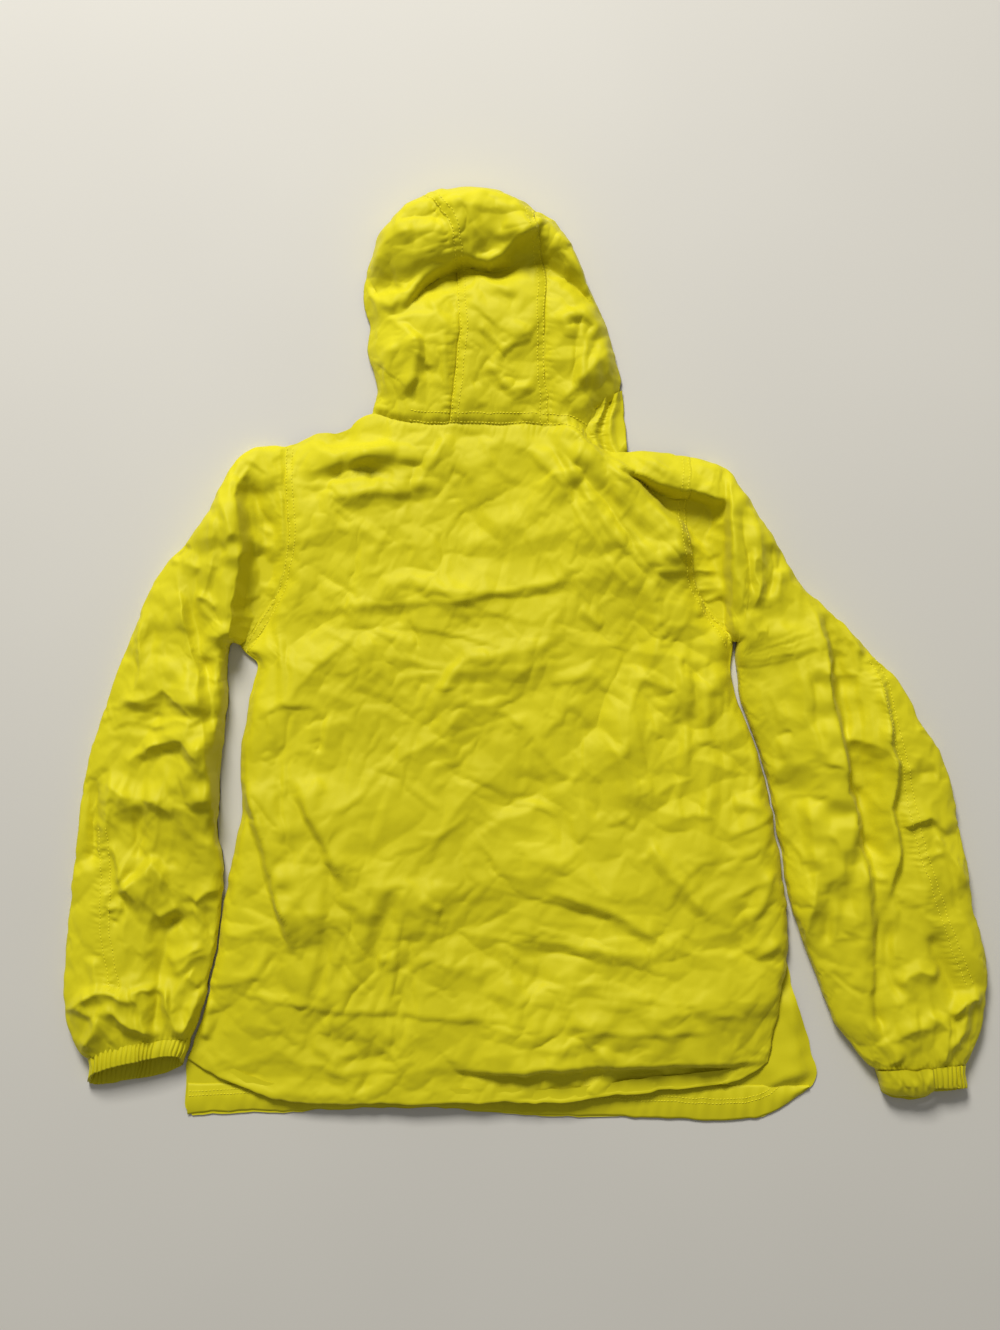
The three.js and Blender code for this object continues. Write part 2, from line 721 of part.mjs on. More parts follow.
function back() {
  const sideShare = 0.64; // the side takes this share of the length from hem to shoulder
  const along = [
    ...Array.from({ length: SIDE_STEPS }, (_, i) => (sideShare * i) / SIDE_STEPS),
    ...Array.from(
      { length: ARMHOLE_STEPS + 1 },
      (_, i) => sideShare + ((1 - sideShare) * i) / ARMHOLE_STEPS,
    ),
  ];
  const top = joined(
    edge(SHOULDER_LEFT, SHOULDER_LEFT_STEPS),
    edge(NECK_LEFT, NECK_LEFT_STEPS),
    edge(NECK_CENTRE, NECK_CENTRE_STEPS),
    edge(NECK_RIGHT, NECK_RIGHT_STEPS),
    edge(NECK_END, NECK_END_STEPS),
    edge(SHOULDER_RIGHT, SHOULDER_RIGHT_STEPS),
  );
  const inner = EDGE_SHARES.at(-1);
  const middle = top.length - 2 * EDGE_SHARES.length + 1;
  const across = [
    ...EDGE_SHARES,
    ...Array.from({ length: middle - 1 }, (_, k) => inner + ((1 - 2 * inner) * (k + 1)) / middle),
    ...EDGE_SHARES.map((share) => 1 - share).reverse(),
  ];
  const hem = curveOf(HEM_BACK);
  const grid = patch({
    bottom: across.map((u) => hem.getPointAt(u)),
    top,
    left: joined(edge(SIDE_LEFT, SIDE_STEPS), armholeEdge(ARMHOLE_LEFT)),
    right: joined(edge(SIDE_RIGHT, SIDE_STEPS), armholeEdge(ARMHOLE_RIGHT)),
    across,
    along,
  });
  const raise = (point) => BACK_LEVEL - point.z + foldHeight(BACK_FOLDS, point.x, point.y);
  return clothWall(lift(grid, BACK_EDGES, raise));
}

function evenShares(steps) {
  return Array.from({ length: steps + 1 }, (_, k) => k / steps);
}

function hoodPanel({ neck, neckSteps, topRow, left, right, riseAcross }) {
  const grid = patch({
    bottom: edge(neck, neckSteps, HOODWARDS),
    top: edge(topRow, neckSteps, HOODWARDS),
    left: left.map((point) => point.add(HOODWARDS)),
    right: right.map((point) => point.add(HOODWARDS)),
    across: evenShares(neckSteps),
    along: evenShares(HOOD_STEPS),
    riseAcross,
  });
  const raise = (point) => HOOD_LIFT + foldHeight(HOOD_FOLDS, point.x, point.y);
  return clothWall(lift(grid, HOOD_EDGES, raise));
}

function hoodCentre() {
  return hoodPanel({
    neck: NECK_CENTRE,
    neckSteps: NECK_CENTRE_STEPS,
    topRow: HOOD_TOP_CENTRE,
    left: edge(HOOD_SEAM_LEFT, HOOD_STEPS, RIGHTWARDS),
    right: edge(HOOD_SEAM_RIGHT, HOOD_STEPS, LEFTWARDS),
  });
}

function hoodLeft() {
  return hoodPanel({
    neck: NECK_LEFT,
    neckSteps: NECK_LEFT_STEPS,
    topRow: HOOD_TOP_LEFT,
    left: edge(HOOD_RIM_LEFT, HOOD_STEPS),
    right: edge(HOOD_SEAM_LEFT, HOOD_STEPS),
    riseAcross: round(1),
  });
}

function hoodRight() {
  return hoodPanel({
    neck: NECK_RIGHT,
    neckSteps: NECK_RIGHT_STEPS,
    topRow: HOOD_TOP_RIGHT,
    left: edge(HOOD_SEAM_RIGHT, HOOD_STEPS),
    right: joined(
      edge(GATHER_EDGE, GATHER_EDGE_STEPS),
      edge(HOOD_RIM_RIGHT, HOOD_STEPS - GATHER_EDGE_STEPS),
    ),
    riseAcross: (u) => 1 - round(1)(1 - u),
  });
}

// The casing round the face opening: a flat strip under the hood's edge, with its gathered end.
function hoodHem() {
  const clear = 2; // keeps the strip off the front's shoulders
  const rim = joined(
    edge(HOOD_RIM_LEFT.slice(1), HOOD_STEPS),
    edge(HOOD_TOP_LEFT, 2),
    edge(HOOD_TOP_CENTRE, NECK_CENTRE_STEPS),
    edge(HOOD_TOP_RIGHT, 2),
    edge(HOOD_RIM_RIGHT.slice(2).reverse(), HOOD_STEPS),
    edge(GATHER_RIM.slice().reverse(), 3),
  ).filter((p) => p.y > GATHER_RIM[0].y + clear);
  const inner = rim.map((point, k) => {
    const next = rim[Math.min(k + 1, rim.length - 1)];
    const previous = rim[Math.max(k - 1, 0)];
    const along = next.clone().sub(previous).setZ(0).normalize();
    return new THREE.Vector2(point.x + along.y * HOOD_CASING, point.y - along.x * HOOD_CASING);
  });
  const strip = sheet([...rim, ...inner.reverse()], WALL);
  const gatherRows = GATHERS * POINTS_PER_GATHER;
  const off = new THREE.Vector3(2 * SEAM_GAP, 2 * SEAM_GAP, 0);
  const grid = patch({
    bottom: edge(NECK_END, GATHER_COLUMNS, off, 1),
    top: edge(GATHER_TOP, GATHER_COLUMNS, off, 1),
    left: edge(GATHER_EDGE, gatherRows, off),
    right: edge(GATHER_RIM, gatherRows, off, 1),
    across: evenShares(GATHER_COLUMNS),
    along: evenShares(gatherRows),
  });
  const gathered = grid.map((row, i) =>
    row.map((point, j) => {
      const wave = (1 - Math.cos((2 * Math.PI * i) / POINTS_PER_GATHER)) / 2;
      const fade = round(GATHER_COLUMNS)(GATHER_COLUMNS - j);
      return point.clone().setZ(point.z + GATHER_DEPTH * wave * fade);
    }),
  );
  return fused(strip, clothWall(gathered));
}

const jacket = new THREE.Group();

function add(name, geometry) {
  const material = new THREE.MeshStandardMaterial({
    color: CLOTH,
    roughness: CLOTH_ROUGHNESS,
    metalness: 0,
  });
  const mesh = new THREE.Mesh(geometry, material);
  mesh.name = name;
  jacket.add(mesh);
}

add("front", front());
add("front_hem", frontHem());
add("back", back());
add("sleeve_left", sleeve(ARMHOLE_LEFT, SLEEVE_LEFT, SLEEVE_BOW_LEFT, SLEEVE_LEFT_FOLDS, LEFTWARDS));
add("sleeve_right", sleeve(ARMHOLE_RIGHT, SLEEVE_RIGHT, SLEEVE_BOW_RIGHT, SLEEVE_RIGHT_FOLDS, RIGHTWARDS));
add("cuff_left", cuff(SLEEVE_LEFT.at(-1), CUFF_LEFT));
add("cuff_right", cuff(SLEEVE_RIGHT.at(-1), CUFF_RIGHT));
add("hood_centre", hoodCentre());
add("hood_left", hoodLeft());
add("hood_right", hoodRight());
add("hood_hem", hoodHem());

export default jacket;
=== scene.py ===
"""The looks of a hooded pullover windbreaker that is laid face down on a pale floor.

Sizes are in millimetres in the part's own frame: +X to the right of the view from above,
+Y towards the hood, +Z up. Folds and seams are listed by their place in that view instead:
x to the right and y down from the view's top left corner, see VIEW_CORNER.
"""

import bpy
import numpy as np
from mathutils import Euler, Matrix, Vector
from mathutils.bvhtree import BVHTree


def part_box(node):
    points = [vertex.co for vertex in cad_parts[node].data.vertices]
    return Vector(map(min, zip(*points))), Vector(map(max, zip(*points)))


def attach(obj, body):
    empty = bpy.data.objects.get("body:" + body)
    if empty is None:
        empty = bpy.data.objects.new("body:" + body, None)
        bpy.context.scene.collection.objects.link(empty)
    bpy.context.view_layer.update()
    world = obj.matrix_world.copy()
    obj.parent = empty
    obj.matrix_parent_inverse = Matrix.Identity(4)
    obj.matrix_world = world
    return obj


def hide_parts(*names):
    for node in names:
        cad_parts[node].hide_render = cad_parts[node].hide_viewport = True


MM = 0.001
VIEW_CORNER = (-525, 652)  # the part's x and y at the top left corner of the view

WALL = 1.8
LOWEST = 2.15  # of a panel's inner face
GRID_STEP = 2.15  # between the points of a panel
SIDE_STEPS = 17
ARMHOLE_STEPS = 14
HOOD_STEPS = 14
EDGE_SHARES = [0, 0.012, 0.032, 0.062]
SIDE_SHARE = 0.64
BACK_LEVEL = 17
HOOD_LIFT = 5
SLEEVE_EDGE = 4.2
SECTION_POWER = 3.3
HEM_TURNING = 14  # cloth turned under at the hem
STITCH_PITCH = 3.4
STITCH_LENGTH = 2.3
STITCH_RADIUS = 0.5

# Edges of the panels as x, y and the height of the inner face.
SIDE_LEFT = [
    (-337, -408, 2.4), (-318, -348, 2.4), (-308.5, -298, 2.4), (-301, -248, 2.4), (-295, -216, 2.4),
    (-283, -160, 2.4), (-285, -116, 2.4), (-275, -43, 2.4), (-268, -12, 3), (-272, 0, 4.2),
    (-284, 7, 4.2),
]
ARMHOLE_LEFT = [
    (-284, 7, 4.2), (-264, 38, 9), (-246, 72, 13), (-238, 112, 14), (-238, 152, 13),
    (-240, 186, 9), (-240, 207, 4.2),
]
SHOULDER_LEFT = [
    (-240, 207, 4.2), (-225, 211, 3), (-212, 217, 2.6), (-180, 221, 2.6), (-170, 230, 4),
    (-153, 238, 7),
]
NECK_LEFT = [(-153, 238, 7), (-125, 231, 13), (-75, 226, 16)]
NECK_CENTRE = [(-75, 226, 16), (-25, 225, 17), (23, 226, 16)]
NECK_RIGHT = [(23, 226, 16), (48, 220, 16), (66, 207, 13)]
NECK_END = [(66, 207, 13), (85, 201, 10), (103, 200, 5)]
SHOULDER_RIGHT = [(103, 200, 5), (130, 201, 5), (165, 196, 4.2)]
ARMHOLE_RIGHT = [
    (207, 10, 4.2), (187, 42, 8), (172, 67, 9.5), (165, 107, 9), (163, 146, 9.5), (164, 172, 14),
    (165, 196, 4.2),
]
SIDE_RIGHT = [
    (243, -412, 4.6), (249, -378, 4.6), (256, -338, 4.6), (262, -298, 4.6), (261, -248, 2.6),
    (254.5, -208, 2.4), (245, -150, 2.4), (236.5, -113, 2.4), (224.5, -76, 2.4), (213, -46, 2.4),
    (206, -18, 3), (207, 10, 4.2),
]
HEM_BACK = [
    (-337, -408, 2.4), (-310, -425, 4.2), (-275, -439, 7.5), (-225, -449, 11), (-105, -450, 13.5),
    (-25, -449, 13.5), (45, -448, 13), (95, -442, 11), (155, -437, 8), (215, -428, 5.8),
    (243, -412, 4.6),
]
FRONT_Z = 1.3
FRONT_LEFT = [(-334, -466), (-341, -456), (-341, -430), (-339, -414), (-337, -408)]
FRONT_HEM = [(-334, -466), (-175, -459), (-105, -458), (-5, -465), (75, -467), (240, -467)]
FRONT_RIGHT = [
    (240, -467), (258, -458), (275, -445), (292, -430), (287, -398), (283, -378), (274, -353),
    (265, -323), (261, -298),
]
FRONT_NECK = [(-153, 237), (-135, 214), (-90, 184), (-30, 170), (40, 176), (84, 188), (103, 200)]
CASING_TOP = -434
CASING_BOTTOM = [
    (-339, -464), (-175, -458), (-105, -457), (-5, -464), (75, -466), (240, -466), (286, -436),
]
CASING_PUCKERS = 46

HOOD_SEAM_LEFT = [
    (-75, 226, 16), (-70, 272, 21), (-66, 322, 27), (-67, 355, 25), (-69, 384, 16), (-71, 400, 36),
    (-76, 420, 46), (-88, 438, 40), (-99, 449, 22), (-105, 454, 2.2),
]
HOOD_SEAM_RIGHT = [
    (23, 226, 16), (21, 272, 21), (20, 322, 27), (20, 362, 24), (17, 388, 15), (14, 406, 34),
    (10, 422, 40), (9, 432, 22), (12, 440, 2.2),
]
HOOD_RIM_LEFT = [
    (-153, 238, 7), (-149, 250, 3), (-148, 268, 2.2), (-154, 291, 2.2), (-157, 307, 2.2),
    (-155, 321, 2.2), (-161, 345, 2.2), (-162, 366, 2.2), (-152, 397, 2.2), (-140, 425, 2.2),
    (-125, 440, 2.2),
]
GATHER_EDGE = [(66, 207, 13), (65, 227, 13), (73, 246, 9)]
HOOD_RIM_RIGHT = [
    (73, 246, 9), (84, 253, 5), (97, 260, 2.2), (91, 292, 2.2), (82, 322, 2.2), (69, 352, 2.2),
    (50, 397, 2.2), (36, 423, 2.2),
]
HOOD_TOP_LEFT = [(-125, 440, 2.2), (-115, 448, 2.2), (-105, 454, 2.2)]
HOOD_TOP_CENTRE = [
    (-105, 454, 2.2), (-85, 462, 2.2), (-41, 465, 2.2), (-10, 454, 2.2), (12, 440, 2.2),
]
HOOD_TOP_RIGHT = [(12, 440, 2.2), (27, 434, 2.2), (36, 423, 2.2)]
GATHER_RIM = [(103, 201, 1), (100, 232, 1), (97.5, 258, 1)]
GATHER_TOP = [(73, 246, 9), (86, 253, 4), (97.5, 258, 1)]

# Sleeve sections from shoulder to cuff: inner edge, outer edge and height of the upper layer.
SLEEVE_LEFT = [
    (-287, 8, -266, 207, 19), (-290, 9, -285, 198, 22), (-292, 9, -303, 168, 24),
    (-295, 7, -319, 138, 24), (-297, 2, -337, 111, 23), (-298, -8, -357, 89, 22),
    (-298, -22, -375, 60, 21), (-298, -38, -389, 28, 21), (-299, -58, -403, -6, 22),
    (-301, -82, -416, -40, 22), (-304, -110, -428, -78, 22), (-307, -142, -438, -115, 22),
    (-307, -178, -446, -160, 22), (-302.5, -218, -451, -206, 22), (-304.5, -258, -455, -250, 22),
    (-311, -300, -459, -295, 22), (-318.5, -338, -463, -334, 23), (-327, -368, -459, -370, 24),
    (-332, -382, -448, -396, 22), (-335, -390, -437, -406, 20),
]
SLEEVE_RIGHT = [
    (212, 9, 187, 190, 22), (212, 6, 206, 179, 24), (211.5, 1, 222, 156, 25),
    (211, -6, 240, 127, 25), (212, -18, 258, 97, 24), (214, -32, 278, 66, 24),
    (216.5, -46, 301, 44, 24), (222, -62, 327, 18, 24), (229, -82, 356, -11, 24),
    (237, -106, 380, -38, 24), (244, -134, 398, -71, 24), (250, -164, 417, -102, 24),
    (256, -196, 429, -138, 24), (261, -228, 435, -175, 25), (268.5, -262, 442, -215, 25),
    (281, -298, 450, -258, 25), (295, -334, 461, -302, 26), (310, -368, 462, -346, 26),
    (327, -396, 457, -377, 24), (340, -411, 449, -398, 22), (350, -419, 442, -413, 20),
]
# The mouth of each cuff, how far its upper lip draws back and its lower one forward in the
# middle, how far the seam above it bows up the sleeve, and the share under a fold of the sleeve.
CUFF_LEFT = {"a": (-341, -413), "b": (-438, -431), "height": 24, "dip": 15, "lower_dip": 7,
             "seam_bow": 8, "gathers": 21, "covered": 0}
CUFF_RIGHT = {"a": (358, -440), "b": (441, -437), "height": 18, "dip": 3, "lower_dip": 3,
              "seam_bow": 2, "gathers": 19, "covered": 0.62}
CUFF_WALL = 3
COVER_FOLD = 4.5  # height of the sleeve's fold over the cuff
FLAP_REACH = 7  # how far that fold bows down over the cuff

# Folds: height, width on the left and on the right of the line as one walks along it, power of
# the fall (1 sharp, 2 soft), then the line's points by their place in the view. Lines that run
# across are walked to the right, so that left is above; the others up, so that left is left.
BACK_FOLDS = [
    (13, 5, 60, 1.2, (548, 418), (590, 450), (615, 475), (640, 495), (670, 525), (700, 550), (716, 560)),
    (-5, 14, 14, 2, (600, 440), (640, 478), (690, 520), (715, 545)),
    (-4, 10, 12, 2, (530, 437), (560, 455), (600, 495), (640, 525), (670, 545), (685, 555)),
    (2.5, 3, 8, 1, (663, 522), (685, 562)),
    (11, 26, 2.5, 1.2, (596, 452), (624, 471), (643, 477), (663, 487), (687, 491), (711, 499), (734, 500)),
    (-11, 4, 17, 2, (636, 484), (664, 496), (690, 502), (712, 508), (732, 510)),
    (3, 5, 8, 1.1, (668, 524), (690, 530), (706, 532), (730, 514)),
    (3, 10, 3, 1, (645, 572), (680, 571), (724, 572)),
    (2, 4, 3, 1, (690, 592), (712, 589), (731, 590)),
    (2, 4, 3, 1, (692, 605), (715, 597), (731, 596)),
    (1.6, 4, 3, 1, (690, 617), (705, 607), (720, 600)),
    (5, 8, 24, 1.5, (682, 728), (660, 660), (655, 620), (646, 572)),
    (-5, 22, 10, 2, (668, 735), (640, 660), (630, 610), (615, 560)),
    (4, 14, 14, 2, (712, 745), (700, 660), (676, 590)),
    (3, 12, 5, 1, (322, 609), (360, 606), (403, 603), (460, 600), (485, 594), (540, 584), (602, 577)),
    (1.5, 4, 4, 1, (578, 609), (602, 626)),
    (3, 10, 14, 2, (505, 432), (525, 440), (548, 472), (578, 503)),
    (-2.5, 5, 5, 1, (678, 658), (712, 687)),
    (5, 3.5, 14, 1.2, (309, 440), (320, 452), (338, 457), (360, 455), (400, 448)),
    (-4, 9, 9, 2, (326, 440), (360, 440), (394, 434)),
    (-5, 8, 16, 1.6, (290, 488), (330, 478), (365, 470), (404, 463)),
    (3, 12, 4, 1.2, (298, 477), (320, 468), (360, 460), (402, 452)),
    (4, 12, 12, 2, (310, 502), (360, 497), (415, 492)),
    (-3, 8, 10, 2, (336, 511), (380, 503), (415, 498), (434, 489)),
    (3.5, 4, 10, 1.2, (414, 493), (430, 466), (448, 436)),
    (4, 14, 14, 2, (512, 545), (490, 500), (465, 455)),
    (-2.5, 12, 12, 2, (482, 542), (468, 505), (459, 476)),
    (1.2, 4, 4, 1, (354, 524), (386, 546)),
    (-3, 10, 14, 2, (286, 597), (330, 635), (374, 646)),
    (-2, 9, 9, 2, (468, 552), (512, 560)),
    (2.8, 4, 10, 1.2, (437, 706), (446, 686), (456, 669), (472, 658), (504, 655)),
    (4, 16, 16, 2, (440, 660), (500, 652), (558, 645)),
    (2, 4, 6, 1, (290, 724), (285, 680), (277, 620)),
    (4, 20, 20, 2, (655, 842), (620, 720), (585, 592)),
    (9, 4, 50, 1.3, (300, 958), (290, 920), (278, 885), (268, 850), (255, 805), (241, 770)),
    (-3, 10, 10, 2, (303, 1037), (288, 1000), (275, 960), (262, 922)),
    (5, 4, 22, 1.3, (351, 894), (335, 855), (315, 815), (296, 774)),
    (4.5, 14, 16, 1.7, (334, 1030), (360, 960), (380, 890), (396, 838)),
    (4, 14, 14, 2, (397, 967), (422, 915), (441, 872)),
    (-4, 9, 9, 2, (366, 977), (380, 930), (399, 888)),
    (1.3, 7, 2.5, 1, (213, 981), (250, 992), (300, 1003), (400, 1012), (500, 1018), (562, 1023)),
    (1.1, 6, 2.5, 1, (560, 1023), (650, 1030), (722, 1028)),
    (-2.5, 7, 7, 1.5, (298, 1062), (310, 1035), (325, 1015), (336, 998)),
    (-3, 8, 8, 1.5, (359, 1097), (375, 1065), (395, 1040), (407, 1044)),
    (-2.5, 8, 8, 1.5, (459, 1097), (470, 1060), (502, 1028)),
    (1, 5, 3, 1, (318, 1067), (360, 1070), (402, 1067)),
    (8, 60, 2.5, 1.2, (440, 1063), (500, 1069), (560, 1065), (640, 1063), (700, 1062), (775, 1060)),
    (-5, 3, 26, 1.6, (470, 1078), (560, 1076), (640, 1074), (700, 1072), (770, 1066)),
    (2.5, 5, 8, 1, (588, 1098), (600, 1080), (612, 1066)),
    (2, 8, 5, 1, (650, 1090), (660, 1078), (676, 1066)),
    (-3, 7, 9, 1.5, (498, 964), (560, 985), (612, 1001)),
    (3, 9, 5, 1.2, (538, 889), (570, 897), (600, 905), (620, 915), (672, 946)),
    (3, 5, 10, 1.2, (712, 917), (680, 885), (660, 860), (649, 833)),
    (2, 8, 6, 1.3, (498, 924), (560, 940), (662, 958)),
    (-3, 14, 12, 2, (666, 868), (650, 800), (640, 738)),
    (3, 5, 5, 1, (744, 932), (760, 900), (771, 868)),
    (2, 4, 4, 1, (754, 957), (776, 939)),
    (2.5, 6, 4, 1, (728, 799), (750, 805), (772, 823)),
    (5, 14, 14, 1.7, (765, 975), (758, 880), (744, 765)),
    (-3, 10, 14, 2, (600, 860), (540, 800), (520, 730)),
    (3, 14, 10, 1.6, (520, 850), (580, 875), (655, 905)),
    (-3, 16, 16, 2, (470, 945), (580, 970), (680, 1000)),
]
SLEEVE_LEFT_FOLDS = [
    (-16, 13, 18, 2, (246, 660), (256, 600), (263, 560), (261, 510), (268, 470)),
    (-4, 4, 12, 1.5, (247, 610), (250, 560), (246, 520), (240, 486)),
    (14, 36, 3.5, 1.3, (224, 900), (219, 830), (214, 765), (222, 715), (229, 673), (234, 635), (238, 600), (243, 560), (246, 546),
     (242, 530), (239, 505), (241, 484), (250, 464), (262, 449)),
    (-4, 8, 10, 2, (238, 484), (255, 462)),
    (2.5, 6, 6, 1, (239, 549), (228, 515), (217, 494)),
    (3, 4, 6, 1.1, (245, 500), (262, 528), (276, 535)),
    (2.5, 4, 6, 1.1, (246, 530), (265, 548), (277, 542)),
    (-4, 8, 8, 1.6, (230, 491), (262, 492), (290, 494)),
    (2.5, 5, 4, 1.1, (240, 598), (262, 596)),
    (2.5, 4, 4, 1.1, (238, 612), (258, 620)),
    (7, 30, 4, 1.3, (216, 850), (214, 776), (208, 722), (203, 690), (197, 658), (190, 628), (183, 598), (179, 575),
     (178, 560)),
    (-3, 3, 3, 1, (178, 561), (186, 552), (190, 545)),
    (-3, 6, 6, 1.5, (200, 642), (198, 600), (200, 560)),
    (3, 7, 7, 1.3, (215, 592), (213, 550), (216, 508)),
    (2, 3, 3, 1, (199, 601), (208, 598), (223, 609)),
    (-3, 8, 8, 2, (226, 850), (217, 762), (212, 700), (206, 638)),
    (2.5, 3, 8, 1.2, (137, 694), (144, 668), (141, 640), (141, 613)),
    (5, 16, 5, 1.2, (118, 697), (140, 701), (158, 694), (168, 689), (180, 699), (205, 724)),
    (-4, 7, 9, 1.3, (130, 760), (150, 734), (167, 704)),
    (3, 6, 4, 1, (150, 728), (165, 724), (180, 720), (202, 725)),
    (-4.5, 9, 12, 1.5, (133, 798), (152, 775), (170, 752), (185, 740)),
    (5, 14, 5, 1.2, (126, 762), (160, 745), (182, 738), (198, 750), (209, 764)),
    (-8, 8, 7, 1.5, (88, 874), (95, 835), (98, 776)),
    (5, 8, 16, 1.3, (102, 782), (130, 795), (160, 800), (175, 814)),
    (-5, 9, 12, 1.6, (142, 868), (141, 835), (143, 800)),
    (-5, 10, 12, 1.6, (170, 872), (176, 835), (172, 805)),
    (3, 3, 5, 1, (122, 887), (122, 862), (117, 851), (107, 843)),
    (8, 4, 18, 1.2, (120, 895), (140, 880), (155, 864), (166, 858)),
    (2.5, 3, 3, 1, (111, 908), (125, 900)),
    (2, 3, 3, 1, (117, 919), (124, 903)),
    (3, 3, 7, 1, (158, 917), (180, 902)),
    (-8, 8, 12, 1.4, (156, 992), (164, 955), (170, 925), (183, 903)),
    (3.5, 7, 4, 1, (196, 904), (208, 893), (223, 887)),
    (-2.5, 4, 4, 1.2, (212, 947), (209, 903)),
    (3, 5, 5, 1, (168, 963), (182, 954), (208, 945)),
    (2, 4, 4, 1, (171, 974), (190, 960), (210, 954)),
    (6, 4, 9, 1.1, (64, 1012), (80, 1003), (103, 990), (120, 993), (140, 1000)),
    (3, 4, 4, 1, (104, 992), (98, 978), (97, 953)),
    (2, 3, 3, 1, (82, 1003), (88, 1010), (99, 1013)),
    (5, 4, 7, 1.1, (85, 1051), (97, 1028), (108, 1000)),
    (5, 6, 5, 1.1, (106, 1000), (120, 1012), (135, 1023), (150, 1028), (162, 1036)),
    (4, 4, 4, 1, (160, 1033), (147, 1018), (142, 1000), (132, 989)),
    (3, 3, 4, 1, (131, 990), (143, 987), (156, 989)),
    (-4.5, 4, 4, 1.2, (159, 1034), (157, 1008), (157, 984)),
    (4, 4, 4, 1.1, (183, 1038), (172, 1010), (167, 984)),
    (5, 5, 4, 1.1, (181, 1040), (190, 1022), (198, 1003), (201, 984)),
    (3, 4, 4, 1, (188, 970), (201, 986)),
    (3, 4, 4, 1, (205, 1044), (206, 1020), (212, 1000)),
]
SLEEVE_RIGHT_FOLDS = [
    (-16, 22, 12, 2, (726, 640), (717, 580), (712, 530), (714, 500)),
    (-4, 12, 4, 1.5, (729, 636), (726, 580), (725, 540), (724, 496)),
    (11, 2.5, 42, 1.3, (742, 684), (737, 655), (731, 625), (730, 560), (729, 500), (731, 468)),
    (-3.5, 6, 5, 1.4, (753, 605), (744, 560), (741, 520), (742, 496)),
    (-4, 5, 3, 1.2, (764, 600), (770, 585), (771, 560), (768, 543)),
    (-3, 3, 5, 1.1, (776, 574), (779, 547)),
    (3, 4, 4, 1.1, (752, 609), (756, 588), (749, 566), (760, 556)),
    (3, 12, 6, 1.5, (804, 710), (798, 680), (788, 650), (775, 610)),
    (12, 40, 4, 1.3, (868, 940), (860, 860), (847, 802), (838, 750), (830, 715), (826, 690), (823, 655), (818, 632),
     (810, 612), (802, 592)),
    (-12, 9, 20, 1.8, (874, 950), (868, 870), (858, 800), (850, 745), (843, 702), (836, 660), (826, 622)),
    (-4, 6, 6, 1.5, (848, 697), (838, 665), (828, 635), (820, 610)),
    (2.5, 3, 3, 1, (862, 658), (850, 640), (842, 622)),
    (5, 16, 5, 1.2, (838, 738), (862, 741), (888, 751)),
    (-5, 20, 20, 2, (846, 782), (880, 778)),
    (8, 12, 3, 1.2, (880, 910), (886, 885), (892, 858), (891, 832), (886, 812), (889, 780), (887, 745),
     (884, 720), (876, 685), (867, 660)),
    (4, 12, 3, 1.2, (895, 825), (912, 820), (927, 815), (938, 824), (949, 835)),
    (2, 5, 3, 1, (918, 856), (942, 851)),
    (2.5, 4, 4, 1, (970, 895), (952, 862), (938, 842), (930, 824)),
    (-2.5, 4, 4, 1, (913, 772), (937, 772)),
    (-9, 10, 14, 1.6, (842, 914), (850, 870), (862, 828)),
    (3.5, 9, 9, 2, (860, 1002), (862, 920), (872, 838)),
    (-9, 4, 9, 1.6, (881, 1037), (874, 1000), (875, 930), (880, 903)),
    (-2.5, 4, 3, 1.2, (822, 947), (827, 905), (824, 878)),
    (-7, 6, 9, 1.6, (896, 1002), (886, 960), (890, 918)),
    (4.5, 6, 9, 1.2, (893, 987), (905, 975), (920, 968), (937, 976)),
    (-8, 7, 9, 1.5, (958, 1002), (940, 965), (924, 928)),
    (5, 5, 4, 1.1, (942, 1014), (955, 1005), (963, 996), (970, 995), (982, 1001)),
    (3, 4, 4, 1, (944, 1052), (961, 1022), (963, 996)),
    (4, 6, 4, 1.1, (940, 1073), (943, 1045), (942, 1024), (930, 1016), (916, 1009)),
    (2.5, 5, 5, 1, (891, 1042), (905, 1028), (927, 1021)),
    (3, 5, 5, 1.2, (896, 1062), (889, 1048), (880, 1034)),
    (7, 12, 8, 1.3, (800, 960), (812, 860), (800, 780)),
    (-9, 14, 14, 2, (815, 900), (800, 830), (793, 760)),
    (3, 10, 10, 2, (930, 980), (925, 900), (912, 850)),
]
